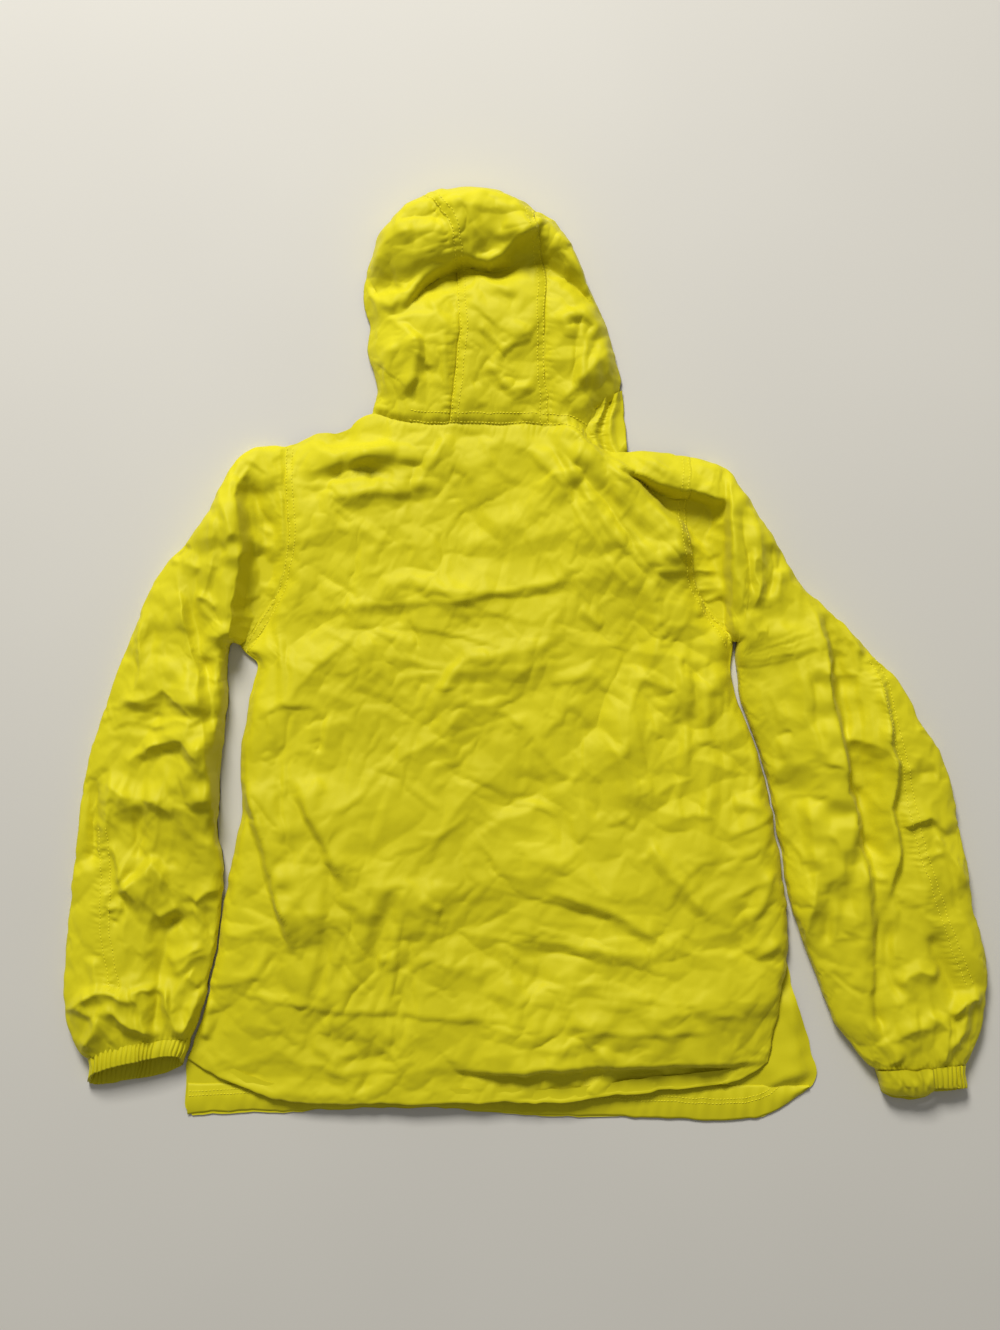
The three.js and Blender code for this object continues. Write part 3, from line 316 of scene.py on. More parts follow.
HOOD_FOLDS = [
    (10, 18, 2.5, 1.2, (396, 320), (412, 297), (430, 279), (450, 267), (467, 262), (490, 266), (512, 251),
     (534, 236), (554, 219)),
    (-13, 6, 15, 2, (408, 308), (430, 288), (450, 276), (470, 272), (495, 274), (534, 258)),
    (4, 14, 8, 1.1, (388, 223), (430, 210), (453, 204)),
    (4.5, 12, 7, 1.1, (452, 203), (468, 218), (488, 260)),
    (3, 7, 8, 1.1, (453, 204), (456, 230), (458, 256)),
    (-3.5, 8, 9, 1.1, (396, 232), (425, 226), (448, 228)),
    (3, 12, 8, 1.1, (470, 204), (505, 200), (532, 208)),
    (3.5, 10, 10, 1.1, (512, 250), (535, 236), (551, 219)),
    (-4, 5, 8, 1.1, (522, 231), (540, 224), (553, 222)),
    (3, 9, 7, 1.1, (370, 266), (392, 248), (418, 237)),
    (-4.3, 10, 12, 1.8, (370, 296), (385, 288), (402, 282)),
    (2.2, 6, 6, 1.1, (363, 294), (380, 302), (401, 314)),
    (1.8, 4, 4, 1.1, (554, 244), (572, 251)),
    (3.6, 5, 8, 1.2, (556, 330), (575, 318), (586, 322), (599, 342)),
    (-2.9, 5, 5, 1.4, (563, 332), (578, 326), (592, 338)),
    (2.9, 6, 4, 1.2, (557, 408), (580, 384), (612, 348)),
    (-2.5, 5, 6, 1.4, (588, 396), (611, 376)),
    (4.3, 16, 3, 1.1, (399, 397), (412, 387), (416, 370), (417, 346), (394, 323)),
    (-2.9, 5, 8, 1.6, (408, 412), (418, 388), (424, 362)),
    (2.5, 5, 4, 1.1, (487, 363), (500, 380), (516, 394), (532, 379)),
    (2.5, 7, 5, 1.2, (468, 263), (485, 285), (517, 302)),
    (-2.5, 7, 7, 1.6, (477, 309), (498, 300), (521, 312)),
    (1.8, 10, 8, 1.6, (475, 340), (500, 330), (535, 336)),
    (-1.8, 9, 9, 2, (430, 385), (432, 350), (425, 325)),
    (1.8, 5, 5, 1.2, (428, 300), (440, 322), (452, 332)),
    (1.8, 5, 7, 1.2, (590, 300), (580, 280), (562, 268)),
]
# Fans of thin creases: their number, height, then the two places between which they start and the
# two between which they end, in the view.
BACK_FANS = [
    (11, 2.6, (532, 434), (596, 452), (655, 640), (728, 560)),
    (9, 2.4, (672, 610), (733, 640), (668, 880), (764, 860)),
    (7, 2.2, (292, 452), (292, 506), (455, 440), (470, 505)),
    (5, 2.0, (262, 622), (300, 610), (262, 850), (310, 900)),
    (9, 2.4, (322, 840), (450, 880), (292, 1010), (420, 1058)),
    (10, 1.3, (478, 866), (500, 1012), (672, 905), (716, 1024)),
    (6, 1.3, (330, 540), (330, 660), (560, 560), (600, 690)),
    (8, 2.4, (718, 800), (716, 980), (772, 770), (776, 940)),
    (7, 1.8, (560, 690), (640, 680), (590, 860), (690, 850)),
    (6, 2.0, (330, 690), (440, 700), (300, 800), (400, 850)),
    (6, 1.8, (470, 1072), (640, 1070), (478, 1096), (652, 1090)),
    (5, 1.6, (400, 660), (420, 760), (520, 640), (560, 720)),
    (5, 1.8, (590, 440), (640, 456), (650, 470), (700, 486)),
]
SLEEVE_LEFT_FANS = [
    (6, 1.7, (208, 496), (236, 478), (186, 640), (238, 640)),
    (5, 1.7, (180, 640), (226, 650), (206, 770), (220, 770)),
    (5, 1.7, (150, 590), (172, 575), (112, 700), (176, 690)),
    (6, 2.0, (110, 720), (200, 710), (84, 900), (150, 950)),
    (7, 1.8, (112, 770), (206, 770), (108, 850), (212, 880)),
    (8, 1.8, (104, 850), (216, 880), (100, 960), (208, 960)),
    (15, 2.2, (76, 968), (212, 968), (94, 1046), (192, 1046)),
    (5, 1.5, (100, 700), (116, 740), (190, 690), (210, 740)),
    (5, 1.5, (248, 470), (284, 470), (246, 530), (284, 540)),
    (6, 1.7, (236, 592), (242, 648), (272, 575), (268, 640)),
]
SLEEVE_RIGHT_FANS = [
    (6, 1.7, (738, 486), (762, 510), (744, 640), (798, 620)),
    (6, 1.7, (742, 650), (810, 640), (772, 800), (840, 800)),
    (7, 1.7, (780, 800), (846, 800), (812, 960), (872, 960)),
    (7, 1.8, (832, 620), (884, 660), (846, 780), (890, 780)),
    (6, 1.7, (896, 800), (950, 800), (926, 960), (980, 950)),
    (6, 1.8, (852, 830), (884, 830), (852, 1010), (890, 1010)),
    (14, 2.2, (848, 984), (984, 984), (888, 1064), (964, 1064)),
    (5, 1.5, (696, 500), (696, 620), (728, 505), (728, 620)),
]
HOOD_FANS = [
    (7, 2.4, (384, 408), (450, 412), (380, 325), (445, 335)),
    (8, 2.4, (562, 404), (604, 398), (566, 300), (612, 350)),
    (4, 1.8, (466, 290), (470, 380), (500, 330), (534, 395)),
    (4, 1.6, (480, 400), (500, 330), (536, 300), (540, 350)),
    (5, 2.2, (388, 232), (400, 262), (450, 205), (470, 250)),
    (5, 2.4, (472, 200), (480, 250), (545, 212), (550, 240)),
    (5, 2.2, (372, 280), (370, 330), (404, 285), (446, 320)),
    (5, 2.2, (556, 250), (562, 320), (590, 290), (604, 350)),
]
FRONT_FOLDS = [
    (7, 22, 5, 1.2, (797, 1090), (798, 1040), (792, 985)),
    (4, 14, 3, 1.1, (766, 1088), (790, 1078), (815, 1070)),
    (-1, 8, 8, 2, (776, 1060), (782, 1010), (784, 960)),
]

# Rows of stitching by their place in the view, with what they are sewn on.
HOOD_SEAM_ROWS = (1.6, 8)  # of a seam's double row, from the seam
SLEEVE_SEAM_LEFT = [(100, 828), (101, 860), (103, 890), (104, 930), (108, 960), (113, 990)]
SLEEVE_SEAM_RIGHT = [
    (868, 660), (880, 690), (890, 730), (899, 770), (905, 810), (917, 855), (930, 895), (942, 930),
    (952, 955), (963, 985),
]
SLEEVE_SEAM_WIDTH = 9


def on_part(points):
    """Points of the view as x and y of the part."""
    return [(VIEW_CORNER[0] + x, VIEW_CORNER[1] - y) for x, y in points]


def smoothstep(low, high, value):
    t = np.clip((value - low) / (high - low), 0, 1)
    return t * t * (3 - 2 * t)


def curve(points, steps):
    """steps + 1 points at equal steps along a centripetal Catmull-Rom curve."""
    p = np.array(points, float)
    p = np.vstack([2 * p[0] - p[1], p, 2 * p[-1] - p[-2]])
    fine = [p[1:2]]
    t = np.linspace(0, 1, 25)[1:, None]
    for a, b, c, d in zip(p, p[1:], p[2:], p[3:]):
        gap = [max(np.sqrt(np.linalg.norm(q - r)), 1e-4) for q, r in ((b, a), (c, b), (d, c))]
        start = ((b - a) / gap[0] - (c - a) / (gap[0] + gap[1]) + (c - b) / gap[1]) * gap[1]
        stop = ((c - b) / gap[1] - (d - b) / (gap[1] + gap[2]) + (d - c) / gap[2]) * gap[1]
        cube = 2 * b - 2 * c + start + stop
        square = -3 * b + 3 * c - 2 * start - stop
        fine.append(cube * t**3 + square * t**2 + start * t + b)
    return resampled(np.vstack(fine), steps)


def resampled(points, steps):
    length = np.r_[0, np.cumsum(np.linalg.norm(np.diff(points, axis=0), axis=1))]
    at = np.linspace(0, length[-1], steps + 1)
    return np.stack([np.interp(at, length, column) for column in points.T], axis=1)


def edge(table, steps, lowest=LOWEST):
    points = curve(table, steps)
    points[:, 2] = np.maximum(points[:, 2], lowest)
    return points


def joined(*edges):
    return np.vstack([edges[0], *(points[1:] for points in edges[1:])])


def patch(bottom, top, left, right, across, along, rise=lambda u: u):
    """A grid between four edges; rise shapes the height between the left and the right one."""
    across, along = np.array(across), np.array(along)
    share = np.stack([across, across, rise(across)], axis=1)[None]
    v = along[:, None, None]
    sides = (1 - share) * left[:, None] + share * right[:, None]
    ends = (1 - v) * bottom[None] + v * top[None]
    low = (1 - share) * bottom[0] + share * bottom[-1]
    high = (1 - share) * top[0] + share * top[-1]
    return sides + ends - (1 - v) * low - v * high


def round_edge(radius):
    return lambda distance: np.sqrt(1 - (1 - np.minimum(distance / radius, 1)) ** 2)


def slope(width):
    return lambda distance: smoothstep(0, width, distance)


def edge_weight(grid, left, right, bottom, top):
    """How far each point of a grid may rise, by its distance from the four edges."""
    plan = grid[:, :, :2]

    def distance(line):
        return np.linalg.norm(plan - line, axis=2)

    return (
        left(distance(plan[:, :1])) * right(distance(plan[:, -1:]))
        * bottom(distance(plan[:1])) * top(distance(plan[-1:]))
    )


def refined(grid, step):
    """The same surface with points about step apart, on Catmull-Rom curves through its own."""
    for axis in (0, 1):
        rows = np.moveaxis(grid, axis, 0)
        gaps = np.linalg.norm(np.diff(rows, axis=0), axis=2).max(axis=1)
        counts = np.maximum(1, np.round(gaps / step)).astype(int)
        first = np.concatenate([np.full(n, k) for k, n in enumerate(counts)] + [[len(rows) - 2]])
        t = np.concatenate([np.arange(n) / n for n in counts] + [[1.0]])
        padded = np.concatenate([2 * rows[:1] - rows[1:2], rows, 2 * rows[-1:] - rows[-2:-1]])
        weights = np.stack([
            -0.5 * t + t**2 - 0.5 * t**3, 1 - 2.5 * t**2 + 1.5 * t**3,
            0.5 * t + 2 * t**2 - 1.5 * t**3, -0.5 * t**2 + 0.5 * t**3,
        ])
        fine = sum(w[:, None, None] * padded[first + k] for k, w in enumerate(weights))
        grid = np.moveaxis(fine, 0, axis)
    return grid


def noise(x, y, wavelength, seed):
    """Smooth noise between about -1 and 1 over the plane."""
    lattice = np.random.default_rng(seed).uniform(-1, 1, (97, 97))
    u, v = x / wavelength + 48, y / wavelength + 48
    i, j = np.floor(u).astype(int), np.floor(v).astype(int)
    fu, fv = smoothstep(0, 1, u - i), smoothstep(0, 1, v - j)
    i, j = i % 96, j % 96
    low = lattice[i, j] * (1 - fu) + lattice[i + 1, j] * fu
    high = lattice[i, j + 1] * (1 - fu) + lattice[i + 1, j + 1] * fu
    return low * (1 - fv) + high * fv


def to_line(x, y, line):
    """Distance from points to a line of points, share of its length, and which side they are on."""
    start, step = line[:-1], np.diff(line, axis=0)
    length = np.linalg.norm(step, axis=1)
    reach = np.r_[0, np.cumsum(length)]
    best = np.full(x.shape, np.inf)
    share, side = np.zeros(x.shape), np.ones(x.shape)
    for (sx, sy), (dx, dy), size, passed in zip(start, step, length, reach):
        t = np.clip(((x - sx) * dx + (y - sy) * dy) / size**2, 0, 1)
        away = np.hypot(x - sx - t * dx, y - sy - t * dy)
        closer = away < best
        best = np.where(closer, away, best)
        share = np.where(closer, (passed + t * size) / reach[-1], share)
        side = np.where(closer, np.sign(dx * (y - sy) - dy * (x - sx)), side)
    return best, share, side


STRAYS = [(1.5, 23, 91), (0.8, 9, 93)]  # reach, wavelength and seed
FOLD_GAIN = 1.5
SLEEVE_CRUMPLE = 0.7
SHARP_POWER = 1.5  # folds below it have flat flanks, the others round ones
SOFT_GAIN = 0.6
WANDER = 1.1  # how far a fold's line strays from its smooth course
CREST = 0.8  # rounding of a sharp fold's crest
# Facets of the crumpled cloth: size, stretch along their length, height and turn.
CRUMPLE_SIZES = [(62, 2.1, 5.4, 0), (33, 2.0, 4.4, 0.5), (17, 1.8, 2.5, -0.45), (8.5, 1.6, 0.9, 0.9)]


def fold_height(x, y, folds):
    """Height that a table of folds adds at each point."""
    bent_x = x + WANDER * noise(x, y, 22, 1) + 0.35 * WANDER * noise(x, y, 7, 2)
    bent_y = y + WANDER * noise(x, y, 22, 3) + 0.35 * WANDER * noise(x, y, 7, 4)
    strength = 1 + 0.25 * noise(x, y, 16, 5)
    total = np.zeros(x.shape)
    for height, left, right, power, *places in folds:
        points = on_part(places)
        steps = max(4, int(np.linalg.norm(np.subtract(points[0], points[-1])) / 9))
        line = curve(points, steps) if len(points) > 2 else np.array(points, float)
        margin = 3.2 * max(left, right)
        low, high = line.min(axis=0) - margin, line.max(axis=0) + margin
        near = (bent_x > low[0]) & (bent_x < high[0]) & (bent_y > low[1]) & (bent_y < high[1])
        away, share, side = to_line(bent_x[near], bent_y[near], line)
        width = np.where(side > 0, left, right)
        away = np.sqrt(away**2 + CREST**2) - CREST
        taper = smoothstep(0, 0.22, share) * smoothstep(0, 0.22, 1 - share)
        if power < SHARP_POWER:
            profile = np.clip(1 - away / (2.3 * width), 0, 1) ** 1.5
        else:
            profile = SOFT_GAIN * np.exp(-((away / width) ** power))
        total[near] += height * taper * strength[near] * profile
    return total


def small_folds(outline, count, seed, lengths=(14, 55), heights=(0.5, 1.5), slant=0.0):
    """A seeded table of small sharp creases within an outline's box, in the view's places."""
    draw = np.random.default_rng(seed)
    (x0, y0), (x1, y1) = outline
    table = []
    for _ in range(count):
        x, y = draw.uniform(x0, x1), draw.uniform(y0, y1)
        turn = slant + draw.normal(0, 0.9)
        half = draw.uniform(*lengths) / 2
        dx, dy = half * np.cos(turn), half * np.sin(turn)
        bend = draw.uniform(-0.35, 0.35)
        places = [(x - dx, y - dy), (x - bend * dy, y + bend * dx), (x + dx, y + dy)]
        height = draw.uniform(*heights) * draw.choice([-1, 1], p=[0.35, 0.65])
        table.append((height, draw.uniform(1.6, 8), draw.uniform(1.6, 8), draw.uniform(1, 1.5), *places))
    return table


def fans(table):
    """The creases of a table of fans, each with its own small turn, length and slope."""
    draw = np.random.default_rng(77)
    creases = []
    for count, height, *corners in table:
        first_start, last_start, first_end, last_end = (np.array(corner, float) for corner in corners)
        for k in range(count):
            share = (k + draw.uniform(0.15, 0.85)) / count
            other = np.clip(share + draw.normal(0, 0.5 / count), 0, 1)
            start = first_start + (last_start - first_start) * share
            stop = first_end + (last_end - first_end) * other
            begin, end = draw.uniform(-0.05, 0.3), draw.uniform(0.7, 1.05)
            low, high = start + (stop - start) * begin, start + (stop - start) * end
            across = np.array([-(high - low)[1], (high - low)[0]])
            middle = (low + high) / 2 + across * draw.normal(0, 0.05)
            steep, gentle = draw.uniform(1.6, 3), draw.uniform(5, 13)
            left, right = (steep, gentle) if draw.uniform() < 0.5 else (gentle, steep)
            size = height * draw.uniform(0.45, 1.1) * draw.choice([1, 1, -0.8])
            creases.append((size, left, right, 1.15, tuple(low), tuple(middle), tuple(high)))
    return creases


def facets(x, y, size, stretch, turn, seed):
    """Flat faces with sharp edges between them, as in crumpled paper, between about -1 and 1."""
    bent_x = x + 0.42 * size * noise(x, y, 1.7 * size, seed + 1)
    bent_y = y + 0.42 * size * noise(x, y, 1.7 * size, seed + 2)
    u = (bent_x * np.cos(turn) + bent_y * np.sin(turn)) / (size * stretch) + 48
    v = (bent_y * np.cos(turn) - bent_x * np.sin(turn)) / size + 48
    heights = np.random.default_rng(seed).uniform(-1, 1, (97, 97))
    diagonals = np.random.default_rng(seed + 3).uniform(size=(96, 96)) < 0.5
    i, j = np.floor(u).astype(int), np.floor(v).astype(int)
    u, v = u - i, v - j
    i, j = i % 96, j % 96
    a, b, c, d = heights[i, j], heights[i + 1, j], heights[i, j + 1], heights[i + 1, j + 1]
    rising = np.where(u > v, a + u * (b - a) + v * (d - b), a + v * (c - a) + u * (d - c))
    falling = np.where(u + v < 1, a + u * (b - a) + v * (c - a), d + (1 - u) * (c - d) + (1 - v) * (b - d))
    return np.where(diagonals[i, j], rising, falling)


def crumple(x, y, seed, turn=0.3):
    """Creased nylon: flat facets of four sizes, more in some places than in others."""
    total = np.zeros(x.shape)
    for size, stretch, height, aside in CRUMPLE_SIZES:
        strong = np.clip(0.6 + 0.8 * noise(x, y, 80, seed + int(size) + 9), 0.12, 1.3)
        total += height * strong * facets(x, y, size, stretch, turn + aside, seed + int(size))
    return total


def puckers(x, y, line, pitch=6.5, height=0.55, reach=9):
    """Small waves across a seam, calm on the seam itself."""
    away, share, _side = to_line(x, y, line)
    length = np.linalg.norm(np.diff(line, axis=0), axis=1).sum()
    run = share * length
    run = run + 2.2 * noise(run, 0 * run, 13, 31) + 0.3 * away
    wave = np.cos(2 * np.pi * run / pitch) * (0.45 + 0.65 * noise(run, away, 9, 32))
    return height * wave * smoothstep(0, 2.5, away) * np.exp(-((away / reach) ** 2))


def normals_of(grid):
    """Unit normals of a grid; on its edges they stay in the upright plane along the edge."""
    down, along = np.gradient(grid, axis=0), np.gradient(grid, axis=1)
    normal = np.cross(along, down)
    normal /= np.linalg.norm(normal, axis=2, keepdims=True)
    for line, course in (
        ((slice(None), 0), down), ((slice(None), -1), down), ((0, slice(None)), along), ((-1, slice(None)), along),
    ):
        tangent = course[line] / np.linalg.norm(course[line], axis=1, keepdims=True)
        upright = np.array([0, 0, 1]) - tangent * tangent[:, 2:]
        normal[line] = upright / np.linalg.norm(upright, axis=1, keepdims=True)
    return normal


ORIGIN = None  # set once the frame is loaded


def strayed(points):
    """Points whose place in the plan strays a little, the same for all pieces, so that no edge is even."""
    points = np.array(points, float)
    x, y = points[:, 0].copy(), points[:, 1].copy()
    for reach, wavelength, seed in STRAYS:
        points[:, 0] += reach * noise(x, y, wavelength, seed)
        points[:, 1] += reach * noise(x, y, wavelength, seed + 1)
    return points


def new_mesh(name, points, faces, material, smooth=True):
    mesh = bpy.data.meshes.new(name)
    mesh.from_pydata((points * MM + ORIGIN).tolist(), [], faces)
    mesh.validate()
    mesh.shade_smooth() if smooth else mesh.shade_flat()
    if material:
        mesh.materials.append(material)
    piece = bpy.data.objects.new(name, mesh)
    bpy.context.scene.collection.objects.link(piece)
    return piece


def grid_faces(rows, columns, closed=False):
    """Faces of a grid of points that are counted row by row, facing up."""
    wrap = columns if closed else columns - 1
    i, j = np.meshgrid(np.arange(rows - 1), np.arange(wrap), indexing="ij")
    i, j = i.ravel(), j.ravel()
    k = (j + 1) % columns
    return np.stack([i * columns + j, i * columns + k, (i + 1) * columns + k, (i + 1) * columns + j], 1).tolist()


def grid_piece(name, grid, material):
    rows, columns = grid.shape[:2]
    return new_mesh(name, strayed(grid.reshape(-1, 3)), grid_faces(rows, columns), material)


def turned_sides(grid, bottom_z):
    """Adds columns at both sides that turn down to the layer below, as at a folded side."""
    outwards = grid[:, :1, :2] - grid[:, 3:4, :2]
    outwards /= np.linalg.norm(outwards, axis=2, keepdims=True)
    inwards = grid[:, -1:, :2] - grid[:, -4:-3, :2]
    inwards /= np.linalg.norm(inwards, axis=2, keepdims=True)

    def column(line, away, share, reach):
        moved = line.copy()
        moved[:, :, :2] += away * reach
        moved[:, :, 2] -= share * np.minimum(np.maximum(line[:, :, 2] - bottom_z, 0.3), 3)
        return moved

    turns = ((0.45, 0.7), (1.0, 0.1))
    left = [column(grid[:, :1], outwards, share, reach) for share, reach in turns]
    right = [column(grid[:, -1:], inwards, share, reach) for share, reach in turns]
    return np.concatenate([*left[::-1], grid, *right], axis=1)


def turned_hem(grid):
    """Adds rows under the first one: the hem's turning."""
    first, second = grid[:1], grid[4:5]
    inwards = second - first
    inwards[:, :, 2] = 0
    inwards /= np.maximum(np.linalg.norm(inwards, axis=2, keepdims=True), 1e-6)
    rows = []
    for reach, drop in ((-0.5, 0.5), (0, 1.2), (2.5, 1.5), (HEM_TURNING / 2, 1.5), (HEM_TURNING, 1.2)):
        row = first + inwards * reach
        row[:, :, 2] -= drop
        rows.append(row)
    return np.concatenate([*rows[::-1], grid])


def with_height(grid, added, weight):
    grid = grid.copy()
    grid[:, :, 2] += added * weight
    return grid


def raised(grid, thickness=WALL):
    return grid + normals_of(grid) * thickness


CLOTH_STEP = 2  # the simulated grid takes every second point
CLOTH_FRAMES = 16


def settled(grid, name, hold, growth, stiffness):
    """Lets Blender's cloth buckle a grid whose cloth is a little too large for its place.

    hold says how firmly each point keeps its place, 1 on the edges."""
    rows = np.unique(np.r_[np.arange(0, len(grid), CLOTH_STEP), len(grid) - 1])
    columns = np.unique(np.r_[np.arange(0, grid.shape[1], CLOTH_STEP), grid.shape[1] - 1])
    coarse = grid[np.ix_(rows, columns)]
    m, n = coarse.shape[:2]
    piece = new_mesh(name + "_cloth_start", coarse.reshape(-1, 3), grid_faces(m, n), None)
    group = piece.vertex_groups.new(name="hold")
    inner = np.ones((m, n))
    inner[1:-1, 1:-1] = hold
    for level in np.unique(inner):
        group.add(np.flatnonzero(inner == level).tolist(), float(level), "REPLACE")
    cloth = piece.modifiers.new("cloth", "CLOTH")
    settings = cloth.settings
    settings.quality = 6
    settings.mass = 0.15
    settings.tension_stiffness = settings.compression_stiffness = 30
    settings.shear_stiffness = 12
    settings.bending_stiffness = stiffness
    settings.shrink_min = -growth
    settings.vertex_group_mass = "hold"
    settings.pin_stiffness = 1
    settings.effector_weights.gravity = 0
    cloth.collision_settings.use_collision = False
    cloth.point_cache.frame_start, cloth.point_cache.frame_end = 1, CLOTH_FRAMES
    scene = bpy.context.scene
    for frame in range(1, CLOTH_FRAMES + 1):
        scene.frame_set(frame)
    result = piece.evaluated_get(bpy.context.evaluated_depsgraph_get()).data
    moved = np.array([vertex.co for vertex in result.vertices]).reshape(m, n, 3)
    moved = (moved - ORIGIN) / MM - coarse
    scene.frame_set(1)
    bpy.data.objects.remove(piece)
    for axis, kept, count in ((0, rows, len(grid)), (1, columns, grid.shape[1])):
        spread = np.moveaxis(moved, axis, 0).reshape(len(kept), -1)
        fine = np.stack([np.interp(np.arange(count), kept, line) for line in spread.T], axis=1)
        moved = np.moveaxis(fine.reshape(count, moved.shape[1 - axis], 3), 0, axis)
    return grid + moved


def outlines():
    """The edges in the plan where the cloth lies on the surface or ends, as lines of x and y."""
    lines = [curve(table, 40)[:, :2] for table in (
        SIDE_LEFT, SIDE_RIGHT, HEM_BACK, SHOULDER_LEFT, SHOULDER_RIGHT, HOOD_RIM_LEFT, HOOD_RIM_RIGHT,
        HOOD_TOP_LEFT, HOOD_TOP_CENTRE, HOOD_TOP_RIGHT)]
    for sections in (SLEEVE_LEFT, SLEEVE_RIGHT):
        table = np.array(sections, float)
        lines += [table[:, :2], table[:, 2:4], table[-1, :4].reshape(2, 2)]
    return lines


def main_folds(x, y, folds):
    """The main folds, the same where two pieces meet, that fade out towards the outlines."""
    away = np.full(x.shape, np.inf)
    for line in outlines():
        away = np.minimum(away, to_line(x, y, line)[0])
    return FOLD_GAIN * fold_height(x, y, folds) * round_edge(10)(away)


def back_grid():
    steps = np.arange
    along = np.r_[SIDE_SHARE * steps(SIDE_STEPS) / SIDE_STEPS,
                  SIDE_SHARE + (1 - SIDE_SHARE) * steps(ARMHOLE_STEPS + 1) / ARMHOLE_STEPS]
    top = joined(edge(SHOULDER_LEFT, 7), edge(NECK_LEFT, 6), edge(NECK_CENTRE, 8), edge(NECK_RIGHT, 5),
                 edge(NECK_END, 3), edge(SHOULDER_RIGHT, 5))
    inner = EDGE_SHARES[-1]
    middle = len(top) - 2 * len(EDGE_SHARES) + 1
    across = np.r_[EDGE_SHARES, inner + (1 - 2 * inner) * (steps(middle - 1) + 1) / middle,
                   1 - np.array(EDGE_SHARES[::-1])]
    hem = curve(HEM_BACK, 4000)
    bottom = hem[np.round(across * 4000).astype(int)]
    grid = patch(bottom, top, joined(edge(SIDE_LEFT, SIDE_STEPS), edge(ARMHOLE_LEFT, ARMHOLE_STEPS)),
                 joined(edge(SIDE_RIGHT, SIDE_STEPS), edge(ARMHOLE_RIGHT, ARMHOLE_STEPS)), across, along)
    weight = edge_weight(grid, round_edge(24), round_edge(24), slope(120), slope(60))
    grid[:, :, 2] += (BACK_LEVEL - grid[:, :, 2]) * weight
    return refined(grid, GRID_STEP)


def back(nylon):
    grid = back_grid()
    x, y = grid[:, :, 0], grid[:, :, 1]
    fade = edge_weight(grid, round_edge(12), round_edge(12), slope(14), slope(14))
    small = fold_height(x, y, fans(BACK_FANS) + small_folds(((250, 430), (780, 1060)), 230, 11, (16, 75), (0.5, 1.7), 0.5))
    grid = with_height(grid, small + crumple(x, y, 100), fade)
    grid[:, :, 2] += main_folds(x, y, BACK_FOLDS + SLEEVE_LEFT_FOLDS + SLEEVE_RIGHT_FOLDS + HOOD_FOLDS)
    grid[:, :, 2] = np.maximum(grid[:, :, 2], LOWEST)
    grid = settled(grid, "back", 0.08, 0.0045, 0.1)
    seams = [curve(table, 60)[:, :2] for table in (ARMHOLE_LEFT, ARMHOLE_RIGHT)]
    seams.append(joined(curve(NECK_LEFT, 20), curve(NECK_CENTRE, 20), curve(NECK_RIGHT, 16))[:, :2])
    for seam in seams:
        grid[:, :, 2] += puckers(x, y, seam)
    return grid_piece("back_cloth", turned_hem(turned_sides(raised(grid), 1.5)), nylon)


def front(nylon):
    """The front panel under the back, with the part of it that shows beyond the back's side."""
    join = lambda *tables: [point[:2] for table in tables for point in table]
    left = curve(join(FRONT_LEFT, SIDE_LEFT[1:], ARMHOLE_LEFT[1:]), 60)
    right = curve(join(FRONT_RIGHT, SIDE_RIGHT[4:], ARMHOLE_RIGHT[1:]), 60)
    bottom = curve(FRONT_HEM, 60)
    top = curve(join(SHOULDER_LEFT[:-1], FRONT_NECK, SHOULDER_RIGHT[1:]), 60)
    flat = lambda points: np.c_[points, np.full(len(points), FRONT_Z)]
    shares = np.linspace(0, 1, 61)
    grid = refined(patch(flat(bottom), flat(top), flat(left), flat(right), shares, shares), 4.5)
    x, y = grid[:, :, 0], grid[:, :, 1]
    grid[:, :, 2] += np.maximum(fold_height(x, y, FRONT_FOLDS), 0)
    return grid_piece("front_cloth", grid, nylon)


def front_casing(nylon):
    """The front's hem casing, puckered between its two rows of stitching."""
    columns = CASING_PUCKERS * 12
    folded = curve(CASING_BOTTOM, columns)
    shares = np.r_[-0.02, np.linspace(0, 1, 13), 1.02]
    grid = np.zeros((len(shares), columns + 1, 3))
    for row, share in zip(grid, shares):
        row[:, 0] = folded[:, 0]
        row[:, 1] = folded[:, 1] + (CASING_TOP - folded[:, 1]) * np.clip(share, 0.01, 0.99)
    x, y = grid[:, :, 0], grid[:, :, 1]
    middle = np.sin(np.pi * np.clip(shares, 0, 1))[:, None]
    run = x + 1.8 * noise(x, 0 * x, 17, 41)
    wave = np.cos(2 * np.pi * run / 13) * (0.5 + 0.5 * noise(x, y, 20, 42))
    grid[:, :, 2] = FRONT_Z + 0.5 + middle * (2.0 + 0.6 * wave + 0.8 * noise(x, y, 24, 43))
    grid[[0, -1], :, 2] = FRONT_Z
    return grid_piece("front_hem_casing", grid, nylon)


def flattened_round(share):
    return (1 - np.abs(2 * share - 1) ** SECTION_POWER) ** (1 / SECTION_POWER)


